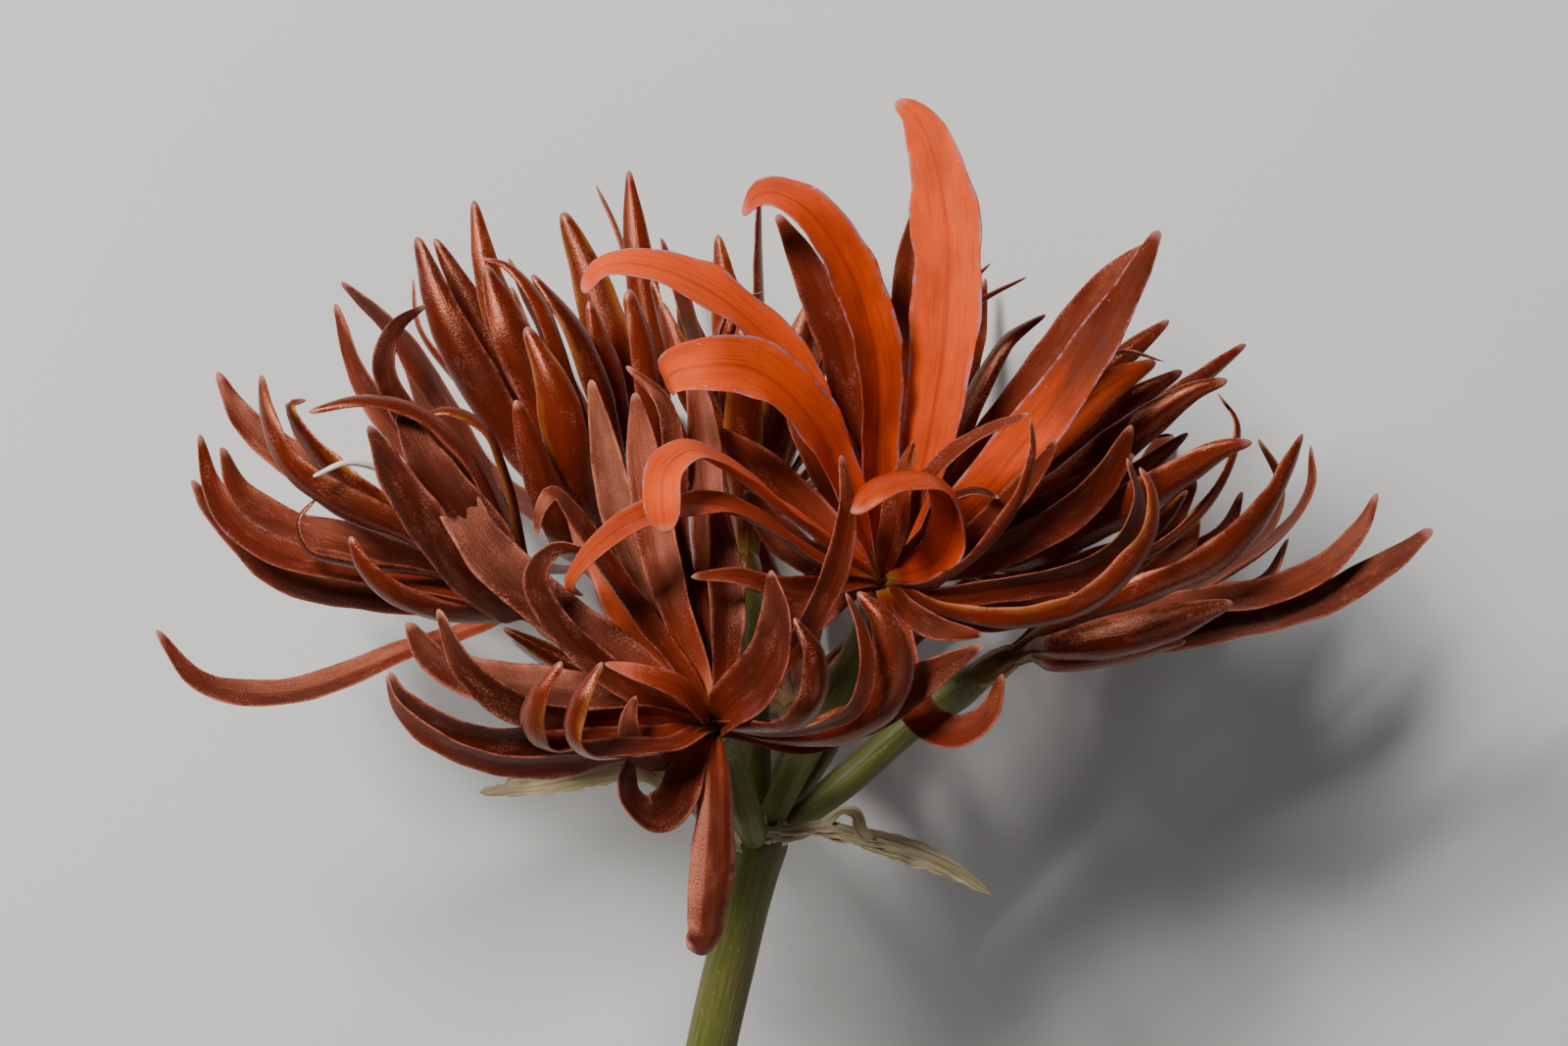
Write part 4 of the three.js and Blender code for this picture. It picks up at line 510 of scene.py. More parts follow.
def smooth_line(points: np.ndarray, per_span: int = 10) -> np.ndarray:
    """Draws a smooth line through points.

    Args:
        points: The points that it passes.
        per_span: How many short pieces there are between two points.

    Returns:
        Close-set points on the line.
    """
    gaps = np.sqrt(np.linalg.norm(np.diff(points, axis=0), axis=1))[:, None]
    slopes = np.diff(points, axis=0) / gaps
    inner = (slopes[:-1] * gaps[1:] + slopes[1:] * gaps[:-1]) / (gaps[:-1] + gaps[1:])
    tangents = np.vstack([slopes[:1], inner, slopes[-1:]])
    t = (np.arange(1, per_span + 1) / per_span)[:, None]
    pieces = [points[:1]]
    for i, gap in enumerate(gaps):
        pieces.append(
            points[i] * (2 * t**3 - 3 * t**2 + 1)
            + tangents[i] * (t**3 - 2 * t**2 + t) * gap
            + points[i + 1] * (3 * t**2 - 2 * t**3)
            + tangents[i + 1] * (t**3 - t**2) * gap
        )
    return np.vstack(pieces)


def along(line: np.ndarray, shares: np.ndarray) -> np.ndarray:
    """Points at the given shares of a line's length.

    Args:
        line: The line's points.
        shares: Shares of its length.

    Returns:
        One row for each share.
    """
    reach = np.concatenate([[0], np.cumsum(np.linalg.norm(np.diff(line, axis=0), axis=1))])
    at = np.clip(shares, 0, 1) * reach[-1]
    return np.stack([np.interp(at, reach, line[:, k]) for k in range(3)], axis=-1)


def length_of(line: np.ndarray) -> float:
    """The length of a line of points."""
    return float(np.linalg.norm(np.diff(line, axis=0), axis=1).sum())


def tangents_of(points: np.ndarray) -> np.ndarray:
    """The ways that lines run at each of their points."""
    ends = np.concatenate([points[..., :1, :], points, points[..., -1:, :]], axis=-2)
    return unit(ends[..., 2:, :] - ends[..., :-2, :])


def normals_of(tangents: np.ndarray, face: np.ndarray) -> np.ndarray:
    """Turns a side of a line along it, with no more twist than it must have.

    Args:
        tangents: The ways that the line runs.
        face: The way that its side looks at the line's middle.

    Returns:
        The ways that its side looks at each point.
    """
    count = tangents.shape[-2]
    middle = count // 2
    normals = np.empty_like(tangents)
    normals[..., middle, :] = square_to(face, tangents[..., middle, :])
    for i in range(middle + 1, count):
        normals[..., i, :] = square_to(normals[..., i - 1, :], tangents[..., i, :])
    for i in range(middle - 1, -1, -1):
        normals[..., i, :] = square_to(normals[..., i + 1, :], tangents[..., i, :])
    return normals


def width_at(share: np.ndarray, shape: Tepal) -> np.ndarray:
    """The share of its greatest width that a tepal has at shares of its length.

    Args:
        share: Shares of its length.
        shape: The tepal.

    Returns:
        One share for each of them.
    """
    rise = np.sin(math.pi / 2 * np.clip(share / shape.wide, 0, 1))
    fall = np.clip((share - shape.wide) / (1 - shape.wide), 0, 1)
    before = shape.claw + (1 - shape.claw) * rise**1.3
    after = shape.tip + (1 - shape.tip) * (1 - fall**2.2)
    return np.where(share < shape.wide, before, after)


@dataclass
class Frames:
    """A line's points, the ways it runs, the ways its side looks, and the ways across it."""

    points: np.ndarray
    tangents: np.ndarray
    normals: np.ndarray

    @classmethod
    def of(cls, points: np.ndarray, face: np.ndarray) -> Frames:
        """Lays frames along lines, from the way that their side looks at the middle."""
        tangents = tangents_of(points)
        return cls(points, tangents, normals_of(tangents, face))

    @property
    def sides(self) -> np.ndarray:
        """The ways across the line."""
        return np.cross(self.tangents, self.normals)

    def at(
        self, stations: np.ndarray, shares: np.ndarray
    ) -> tuple[np.ndarray, np.ndarray, np.ndarray]:
        """Reads the frames between their stations.

        Args:
            stations: The share of the length at each of the line's points.
            shares: Where to read.

        Returns:
            Points, normals and sides.
        """

        def read(rows: np.ndarray) -> np.ndarray:
            """Reads rows of three numbers at the shares."""
            return np.stack([np.interp(shares, stations, rows[:, k]) for k in range(3)], axis=-1)

        return read(self.points), unit(read(self.normals)), unit(read(self.sides))


@dataclass
class Bloom:
    """A flower with its place worked out.

    Attributes:
        flower: The flower.
        tube_length: How far its throat is from its ovary.
        seat_gap: The room between the two.
    """

    flower: Flower
    tube_length: float = 4.6
    seat_gap: float = 0.35

    def __post_init__(self) -> None:
        """Works out where the throat is and how it faces."""
        self.at = seen([self.flower.throat])[0]
        self.axis = unit(np.array(self.flower.facing, float))

    def midrib(self, tepal: Tepal, per_span: int = 10) -> np.ndarray:
        """Draws a tepal's line: out of the throat along the axis, then through its own points.

        Args:
            tepal: The tepal.
            per_span: How many short pieces there are between two points.

        Returns:
            Close-set points on the line.
        """
        points = seen(tepal.path)
        way = points[0] - self.at
        spread = math.acos(float(np.clip(unit(way) @ self.axis, -1, 1))) / math.pi
        aside = square_to(way, self.axis)
        root = self.at - 2 * self.axis + 0.7 * aside
        mouth = self.at + (2.2 - 1.4 * spread) * self.axis + (0.8 + 3.4 * spread) * aside
        return smooth_line(np.vstack([root, mouth, points]), per_span)

    def pedicel_line(self) -> np.ndarray:
        """Close-set points on the line of the stalk that carries the flower.

        Returns:
            Points from the swollen end of the scape to the ovary.
        """
        foot = np.array(NODE_CENTRE)
        neck = self.at - self.axis * (self.tube_length + self.seat_gap)
        third = foot + (self.at - foot) * 0.32
        return smooth_line(np.vstack([foot, third, neck - 7 * self.axis, neck]), 12)


@dataclass
class Umbel:
    """All the tepals, bent round by round to push those of different blooms clear of each other.

    Attributes:
        blooms: The flowers.
        rounds: How often the tepals are bent a little.
        stations: Points along each tepal.
        clearance: The room between tepals of different blooms.
        sideways_give: How much less they give sideways than towards the eye or away from it.
        kin_near: How near the throat tepals of one bloom may lie together.
        kin_clearance: The room between tepals of one bloom farther out.
        thickness: A tepal's thickness.
        ovary_radius: The radius that is kept free round the pedicels.
        throat_radius: The radius that is kept free round each throat.
        pair_range: How near two stations have to be for a push.
        pair_push: The share of their overlap that one round takes away.
        solid_range: How near a stalk or a bract has to be for a push.
        solid_push: The same share for a stalk, a bract or the surface.
        own_share: The share of its length in which a tepal may touch its own stalk.
        station_reach: A station's reach along its tepal, as a share of the step to the next.
        surface_room: The room over the surface.
    """

    blooms: list[Bloom]
    rounds: int = 110
    stations: int = 11
    clearance: float = 0.75
    sideways_give: float = 0.35
    kin_near: float = 9.0
    kin_clearance: float = 0.2
    thickness: float = 0.76
    ovary_radius: float = 2.4
    throat_radius: float = 2.7
    pair_range: float = 12.0
    pair_push: float = 0.16
    solid_range: float = 16.0
    solid_push: float = 0.4
    own_share: float = 0.3
    station_reach: float = 0.55
    surface_room: float = 1.1

    def __post_init__(self) -> None:
        """Lists the tepals and lays their lines."""
        listed = [
            (i, bloom, tepal) for i, bloom in enumerate(self.blooms) for tepal in bloom.flower.tepals
        ]
        self.shares = np.linspace(0, 1, self.stations)
        self.owner = np.array([i for i, _, _ in listed])
        self.tepals = [tepal for _, _, tepal in listed]
        lines = [along(bloom.midrib(tepal), self.shares) for _, bloom, tepal in listed]
        self.base = np.stack(lines)
        self.at = np.stack([bloom.at for _, bloom, _ in listed])
        self.axis = np.stack([bloom.axis for _, bloom, _ in listed])
        self.width = np.array([tepal.width for tepal in self.tepals])[:, None]
        self.profile = np.stack([width_at(self.shares, tepal) for tepal in self.tepals])
        self.channel = np.array([tepal.channel for tepal in self.tepals])[:, None]
        self.foot = np.array([tepal.foot for tepal in self.tepals])
        self.lean = np.zeros((len(listed), 3))
        self.belly = np.zeros((len(listed), 3))
        self.tepal_of = np.repeat(np.arange(len(listed)), self.stations - 1)
        self.pairs = np.triu(self.tepal_of[:, None] != self.tepal_of[None, :])

    def bent(
        self, base: np.ndarray, shares: np.ndarray, which: int | slice = slice(None)
    ) -> np.ndarray:
        """Bends lines by their lean, which grows to the tip, and their belly."""
        swing = (4 * shares * (1 - shares))[:, None]
        return base + self.lean[which, None] * shares[:, None] + self.belly[which, None] * swing

    def faces(self, points: np.ndarray, tangents: np.ndarray) -> np.ndarray:
        """The way each tepal's inner side looks: to the bloom's axis, or square to its bend.

        Args:
            points: The tepals' stations.
            tangents: The ways that they run there.

        Returns:
            One direction for each tepal.
        """
        middle = self.stations // 2
        radial = square_to(points[:, middle] - self.at, self.axis)
        inward = square_to(self.axis - radial, tangents[:, middle])
        bend = tangents[:, -1] - tangents[:, 1]
        across = bend - tangents[:, middle] * dot(bend, tangents[:, middle])
        size = np.linalg.norm(across, axis=1, keepdims=True)
        share = smoothstep(size, 0.35, 1.1)
        across = unit(across) * np.where(dot(across, inward) < 0, -1, 1)
        made = inward * (1 - share) + across * share
        for i, tepal in enumerate(self.tepals):
            if tepal.face is not None:
                made[i] = tepal.face
        return made

    def settle(self) -> None:
        """Keeps the way that each tepal's inner side looks once it is bent."""
        points = self.bent(self.base, self.shares)
        self.face = self.faces(points, tangents_of(points))

    def frames(self) -> Frames:
        """The tepals' frames as they are bent now.

        Returns:
            The frames, with one row of stations for each tepal.
        """
        points = self.bent(self.base, self.shares)
        tangents = tangents_of(points)
        return Frames(points, tangents, normals_of(tangents, self.faces(points, tangents)))

    def green_parts(self) -> tuple[np.ndarray, np.ndarray, np.ndarray]:
        """Balls that fill the stalks, the bracts and the filament.

        Returns:
            Their places, their radii and the bloom that each belongs to, or -1.
        """
        places, radii, owners = [], [], []

        def fill(points: np.ndarray, radius: float, owner: int) -> None:
            """Adds equal balls at some points.

            Args:
                points: Where they are.
                radius: Their radius.
                owner: The bloom that they belong to, or -1.
            """
            places.append(points)
            radii.extend([radius] * len(points))
            owners.extend([owner] * len(points))

        for i, bloom in enumerate(self.blooms):
            fill(along(bloom.pedicel_line(), np.linspace(0, 1, 10)[1:]), self.ovary_radius, i)
            fill(bloom.at[None], self.throat_radius, i)
        scape = smooth_line(np.array(SCAPE_LINE, float))
        fill(along(scape, np.linspace(0, 1, 61)[-14:]), NODE_RADIUS, -1)
        for rows in BRACTS.values():
            for row in rows:
                fill(along(smooth_line(seen(row.path)), np.linspace(0, 1, 13)), row.width * 0.4, -1)
        fill(along(smooth_line(seen(FILAMENT_LINE)), np.linspace(0, 1, 15)[3:]), 0.5, -1)
        return np.vstack(places), np.array(radii), np.array(owners)

    def bend_clear(self) -> None:
        """Bends the tepals a little each round, for a set number of rounds, to push them apart."""
        solids = self.green_parts()
        for _ in range(self.rounds):
            bending = Bending(self)
            bending.tepals_apart()
            bending.off_solids(*solids)
            bending.off_surface()
            self.lean += bending.lean
            self.belly += bending.belly


class Bending:
    """One round of bending: every tepal's stations as flat discs, and how far they are pushed."""

    def __init__(self, umbel: Umbel) -> None:
        """Lays the discs where the tepals are now.

        Args:
            umbel: The tepals.
        """
        count = umbel.stations - 1
        now = umbel.frames()
        self.umbel = umbel
        self.tepal = umbel.tepal_of
        self.owner = np.repeat(umbel.owner, count)
        self.share = np.tile(umbel.shares[1:], len(umbel.tepals))
        self.swing = 4 * self.share * (1 - self.share)
        self.hold = self.share**2 + self.swing**2
        self.at = now.points[:, 1:].reshape(-1, 3)
        self.side = now.sides[:, 1:].reshape(-1, 3)
        self.up = now.normals[:, 1:].reshape(-1, 3)
        self.run = now.tangents[:, 1:].reshape(-1, 3)
        whole = np.linalg.norm(now.points[:, 0] - now.points[:, -1], axis=1)
        rim_depth = umbel.channel * umbel.width * umbel.profile / 5
        self.half = (umbel.width / 2 * umbel.profile)[:, 1:].ravel()
        self.depth = (umbel.thickness / 2 + rim_depth)[:, 1:].ravel()
        self.reach = np.repeat(whole / count * umbel.station_reach, count)
        self.near = np.linalg.norm(self.at - umbel.at[self.tepal], axis=1) < umbel.kin_near
        self.give = np.array([umbel.sideways_give, umbel.sideways_give, 1.0])
        self.lean = np.zeros_like(umbel.lean)
        self.belly = np.zeros_like(umbel.belly)

    def extent(self, i: np.ndarray, way: np.ndarray) -> np.ndarray:
        """How far discs reach from their middles.

        Args:
            i: The discs.
            way: The way to look from each of them.

        Returns:
            One length for each.
        """
        parts = (
            self.half[i] * (way * self.side[i]).sum(1),
            self.depth[i] * (way * self.up[i]).sum(1),
            self.reach[i] * (way * self.run[i]).sum(1),
        )
        return np.sqrt(sum(part**2 for part in parts))

    def step(self, way: np.ndarray, deep: np.ndarray, push: float) -> np.ndarray:
        """Works out how discs move, more towards the eye or away from it than sideways.

        Args:
            way: The way out for each of them.
            deep: How deep each is in.
            push: The share of that depth to move by.

        Returns:
            One move for each.
        """
        by = way * self.give
        return by * (push * deep / np.maximum((by * way).sum(1), TINY_PUSH))[:, None]

    def push(self, i: np.ndarray, by: np.ndarray) -> None:
        """Moves discs by bending their tepals.

        Args:
            i: The discs.
            by: How far each has to go.
        """
        np.add.at(self.lean, self.tepal[i], by * (self.share / self.hold)[i, None])
        np.add.at(self.belly, self.tepal[i], by * (self.swing / self.hold)[i, None])

    def tepals_apart(self) -> None:
        """Pushes the tepals off each other."""
        square = (self.at**2).sum(1)
        gap = square[:, None] + square[None, :] - 2 * self.at @ self.at.T
        i, j = np.nonzero(self.umbel.pairs & (gap < self.umbel.pair_range**2))
        kin = self.owner[i] == self.owner[j]
        keep = ~(kin & (self.near[i] | self.near[j]))
        i, j, kin = i[keep], j[keep], kin[keep]
        way = self.at[j] - self.at[i]
        apart = np.linalg.norm(way, axis=1)
        way /= np.maximum(apart, TINY_LENGTH)[:, None]
        room = np.where(kin, self.umbel.kin_clearance, self.umbel.clearance)
        deep = self.extent(i, way) + self.extent(j, way) + room - apart
        hit = deep > 0
        by = self.step(way[hit], deep[hit], self.umbel.pair_push)
        self.push(j[hit], by)
        self.push(i[hit], -by)

    def off_solids(self, places: np.ndarray, radii: np.ndarray, owners: np.ndarray) -> None:
        """Pushes the tepals off the stalks, the bracts and the filament.

        Args:
            places: Balls that fill these.
            radii: The balls' radii.
            owners: The bloom that each ball belongs to, or -1.
        """
        way = self.at[:, None] - places[None]
        apart = np.linalg.norm(way, axis=2)
        own = (self.owner[:, None] == owners[None]) & (self.share < self.umbel.own_share)[:, None]
        i, j = np.nonzero((apart < self.umbel.solid_range) & ~own)
        way = way[i, j] / np.maximum(apart[i, j], TINY_LENGTH)[:, None]
        deep = self.extent(i, way) + radii[j] + self.umbel.clearance - apart[i, j]
        hit = deep > 0
        self.push(i[hit], self.step(way[hit], deep[hit], self.umbel.solid_push))

    def off_surface(self) -> None:
        """Lifts the tepals off the surface, apart from those that stand on it."""
        rim = self.half * np.abs(self.side[:, 2])
        sunk = SURFACE_Z + self.umbel.surface_room + rim - self.at[:, 2]
        i = np.nonzero((sunk > 0) & ~self.umbel.foot[self.tepal])[0]
        self.push(i, np.array([0, 0, self.umbel.solid_push]) * sunk[i, None])


def tube(sides: int, rings: int) -> bmesh.types.BMesh:
    """Makes a closed tube of radius one from z = 0 to z = 1, with a pole at each end.

    Args:
        sides: Faces round it.
        rings: Rings of faces along it.

    Returns:
        The tube, to be freed by the caller.
    """
    bm = bmesh.new()
    bmesh.ops.create_cone(bm, cap_ends=True, segments=sides, radius1=1, radius2=1, depth=1)
    bmesh.ops.translate(bm, verts=bm.verts, vec=(0, 0, 0.5))
    uprights = [e for e in bm.edges if abs(e.verts[0].co.z - e.verts[1].co.z) > 0.5]
    caps = [f for f in bm.faces if len(f.verts) == sides]
    bmesh.ops.poke(bm, faces=caps)
    bmesh.ops.subdivide_edges(bm, edges=uprights, cuts=rings - 1, use_grid_fill=True)
    return bm


@dataclass
class Skin:
    """The mesh of one piece, gathered from tubes that are each shaped along a line."""

    name: str
    parts: list[tuple[bpy.types.Mesh, np.ndarray, Marks]] = field(default_factory=list)

    def add(self, template: bpy.types.Mesh, points: np.ndarray, marks: Marks) -> None:
        """Adds a copy of a tube with its points moved.

        Args:
            template: The tube.
            points: Where its vertices go, in millimetres from the top of the scape.
            marks: Vectors for the materials to read, one for each vertex.
        """
        self.parts.append((template, points, marks))

    def finish(self) -> bpy.types.Object:
        """Joins the tubes into one object, in metres, with its marks as attributes.

        Returns:
            The object, linked to the scene.
        """
        bm = bmesh.new()
        for template, _, _ in self.parts:
            bm.from_mesh(template)
        mesh = bpy.data.meshes.new(self.name)
        bm.to_mesh(mesh)
        bm.free()
        points = (np.vstack([p for _, p, _ in self.parts]) + np.array(SCAPE_TOP)) * MM
        points[:, 2] = points[:, 2].clip(0)
        mesh.vertices.foreach_set("co", points.astype(np.float32).ravel())
        for mark in self.parts[0][2]:
            rows = np.vstack([marks[mark] for _, _, marks in self.parts]).astype(np.float32)
            attribute = mesh.attributes.new(mark, "FLOAT_VECTOR", "POINT")
            attribute.data.foreach_set("vector", rows.ravel())
        mesh.update()
        self._outward(mesh)
        mesh.shade_smooth()
        made = bpy.data.objects.new(self.name, mesh)
        bpy.context.scene.collection.objects.link(made)
        return made

    @staticmethod
    def _outward(mesh: bpy.types.Mesh) -> None:
        """Turns the faces of a mesh outwards.

        Args:
            mesh: The mesh.
        """
        bm = bmesh.new()
        bm.from_mesh(mesh)
        bmesh.ops.recalc_face_normals(bm, faces=bm.faces)
        bm.to_mesh(mesh)
        bm.free()


class Templates:
    """Tubes that are made once and then copied."""

    def __init__(self) -> None:
        """Starts with none."""
        self._made: dict[tuple[int, int], tuple[bpy.types.Mesh, np.ndarray]] = {}

    def get(self, sides: int, rings: int) -> tuple[bpy.types.Mesh, np.ndarray]:
        """Gives a tube and its vertices.

        Args:
            sides: Faces round it.
            rings: Rings of faces along it.

        Returns:
            The tube's mesh, and one row for each vertex.
        """
        if (sides, rings) not in self._made:
            bm = tube(sides, rings)
            mesh = bpy.data.meshes.new(f"tube_{sides}_{rings}")
            bm.to_mesh(mesh)
            bm.free()
            co = np.empty(len(mesh.vertices) * 3, np.float32)
            mesh.vertices.foreach_get("co", co)
            self._made[sides, rings] = (mesh, co.reshape(-1, 3).astype(float))
        return self._made[sides, rings]


TUBES = Templates()


class Value:
    """A number that varies over a surface, with the arithmetic that materials need."""

    def __init__(self, graph: Graph, socket: bpy.types.NodeSocket) -> None:
        """Keeps the socket and the graph that it belongs to."""
        self.graph = graph
        self.socket = socket

    def __add__(self, other: Number) -> Value:
        """Adds."""
        return self.graph.math("ADD", self, other)

    def __radd__(self, other: Number) -> Value:
        """Adds."""
        return self.graph.math("ADD", other, self)

    def __sub__(self, other: Number) -> Value:
        """Subtracts."""
        return self.graph.math("SUBTRACT", self, other)

    def __rsub__(self, other: Number) -> Value:
        """Subtracts from a number."""
        return self.graph.math("SUBTRACT", other, self)

    def __mul__(self, other: Number) -> Value:
        """Multiplies."""
        return self.graph.math("MULTIPLY", self, other)

    def __rmul__(self, other: Number) -> Value:
        """Multiplies."""
        return self.graph.math("MULTIPLY", other, self)

    def __abs__(self) -> Value:
        """Drops the sign."""
        return self.graph.math("ABSOLUTE", self)

    def rise(self, low: float, high: float) -> Value:
        """A smooth rise from 0 at low to 1 at high, or a fall where low is the greater.

        Args:
            low: Where it is 0.
            high: Where it is 1.

        Returns:
            The risen value.
        """
        sockets = {"Value": self, "From Min": low, "From Max": high}
        made = self.graph.node("ShaderNodeMapRange", {"interpolation_type": "SMOOTHSTEP"}, sockets)
        return Value(self.graph, made.outputs["Result"])


Number = Value | float
Paint = Colour | bpy.types.NodeSocket


class Graph:
    """The nodes of one material."""

    def __init__(self, name: str) -> None:
        """Starts an empty material.

        Args:
            name: The material's name.
        """
        self.material = bpy.data.materials.new(name)
        self.material.use_nodes = True
        self.tree = self.material.node_tree
        self.tree.nodes.clear()

    def node(
        self, kind: str, settings: dict[str, object], sockets: dict[str | int, object]
    ) -> bpy.types.Node:
        """Adds a node.

        Args:
            kind: The node's type.
            settings: Its own settings, set first.
            sockets: Values, or what to link, for its inputs by name or number.

        Returns:
            The node.
        """
        made = self.tree.nodes.new(kind)
        for setting, value in settings.items():
            setattr(made, setting, value)
        for key, value in sockets.items():
            if isinstance(value, Value):
                value = value.socket
            if isinstance(value, bpy.types.NodeSocket):
                self.tree.links.new(value, made.inputs[key])
            else:
                made.inputs[key].default_value = value
        return made

    def math(self, operation: str, *terms: Number) -> Value:
        """Adds a Math node on its terms."""
        made = self.node("ShaderNodeMath", {"operation": operation}, dict(enumerate(terms)))
        return Value(self, made.outputs[0])

    def mark(self, name: str) -> list[Value]:
        """Reads the three parts of one of the mesh's marks."""
        made = self.node("ShaderNodeAttribute", {"attribute_name": name}, {})
        return self.parts(made.outputs["Vector"])

    def parts(self, vector: bpy.types.NodeSocket) -> list[Value]:
        """Splits a vector."""
        made = self.node("ShaderNodeSeparateXYZ", {}, {0: vector})
        return [Value(self, output) for output in made.outputs]

    def vector(self, x: Number, y: Number, z: Number) -> bpy.types.NodeSocket:
        """Joins three numbers into a vector."""
        return self.node("ShaderNodeCombineXYZ", {}, {0: x, 1: y, 2: z}).outputs[0]

    def noise(
        self, at: bpy.types.NodeSocket, scale: float = 1, detail: float = 2, rough: float = 0.5
    ) -> Value:
        """Adds soft noise.

        Args:
            at: Where to read it.
            scale: Features to a unit.
            detail: How many finer layers it has.
            rough: How strong these are.

        Returns:
            The noise, mostly between 0.3 and 0.7.
        """
        sockets = {"Vector": at, "Scale": scale, "Detail": detail, "Roughness": rough}
        return Value(self, self.node("ShaderNodeTexNoise", {}, sockets).outputs["Fac"])

    def streaks(self, x: Number, y: Number, z: Number, detail: float = 2) -> Value:
        """Adds noise that is stretched by what its three coordinates were multiplied with."""
        return self.noise(self.vector(x, y, z), detail=detail)

    def cells(self, at: bpy.types.NodeSocket, scale: float) -> tuple[Value, Value]:
        """Scatters points.

        Args:
            at: Where to read them.
            scale: Points to a unit.

        Returns:
            The distance to the nearest point, and a chance number of that point.
        """
        made = self.node("ShaderNodeTexVoronoi", {}, {"Vector": at, "Scale": scale})
        return Value(self, made.outputs["Distance"]), self.parts(made.outputs["Color"])[0]

    def mix(
        self, share: Number, first: Paint, second: Paint, blend: str = "MIX"
    ) -> bpy.types.NodeSocket:
        """Mixes two colours.

        Args:
            share: How much of the second there is.
            first: A colour or a link.
            second: A colour or a link.
            blend: How the second is laid on.

        Returns:
            The mixed colour.
        """
        first, second = (
            (*paint, 1.0) if isinstance(paint, tuple) else paint for paint in (first, second)
        )
        settings = {"data_type": "RGBA", "blend_type": blend}
        return self.node("ShaderNodeMix", settings, {0: share, 6: first, 7: second}).outputs[2]

    def bump(
        self, height: Value, depth: float, under: bpy.types.NodeSocket | None = None
    ) -> bpy.types.NodeSocket:
        """Raises a surface.

        Args:
            height: From 0 to 1.
            depth: How high 1 is, in metres.
            under: The normal that it is laid on, if it isn't the surface's own.

        Returns:
            The normal.
        """
        sockets = {"Height": height, "Distance": depth, "Strength": 1.0}
        if under is not None:
            sockets["Normal"] = under
        return self.node("ShaderNodeBump", {}, sockets).outputs["Normal"]

    def surface(self, sockets: dict[str, object]) -> bpy.types.Material:
        """Closes the material with its shader.

        Args:
            sockets: Values or links for the shader's inputs.

        Returns:
            The material.
        """
        shader = self.node("ShaderNodeBsdfPrincipled", {}, sockets)
        self.node("ShaderNodeOutputMaterial", {}, {"Surface": shader.outputs["BSDF"]})
        return self.material


class Finish(Protocol):
    """What a piece needs of its finish."""

    slot: str

    def material(self) -> bpy.types.Material:
        """Builds the material."""


class TepalMap:
    """Where a point of a tepal lies, and the noises that its colour, gloss and relief share."""

    def __init__(self, g: Graph) -> None:
        """Reads the marks and adds the noises, whose scales are features to a millimetre.

        Args:
            g: The material's graph.
        """
        self.span, self.run, self.number = span, run, number = g.mark("leaf")
        self.across, self.share, side = g.mark("place")
        self.warm, self.painted_shade, self.dust_and_lit_band = g.mark("mood")
        self.lit, self.red, self.fade = g.mark("tone")
        self.inner = side.rise(-0.12, 0.12)
        self.edge = abs(self.across)
        self.veins = g.streaks(span * 3.2, run * 0.16, number)
        self.fibres = g.streaks(span * 9, run * 0.5, number + 5)
        self.clouds = g.streaks(span * 0.35, run * 0.14, number + 9, 3)
        self.worn = g.streaks(span * 0.2, run * 0.6, number + 13, 3)
        self.patches = g.streaks(span * 0.55, run * 0.22, number + 21)
        self.grain = g.noise(g.vector(span, run * 0.8, number), 6.2, 2, 0.7)
        # deep mixes random mottling with painted shade: it grows towards each tepal's foot, by the
        # throat, and with the tepal's painted shade.
        foot = self.share.rise(0.5, 0.05)
        depth = (self.clouds - 0.5) * 1.4 + self.painted_shade * 0.6 + foot * 0.35 + 0.25
        self.deep = depth.rise(0, 1)


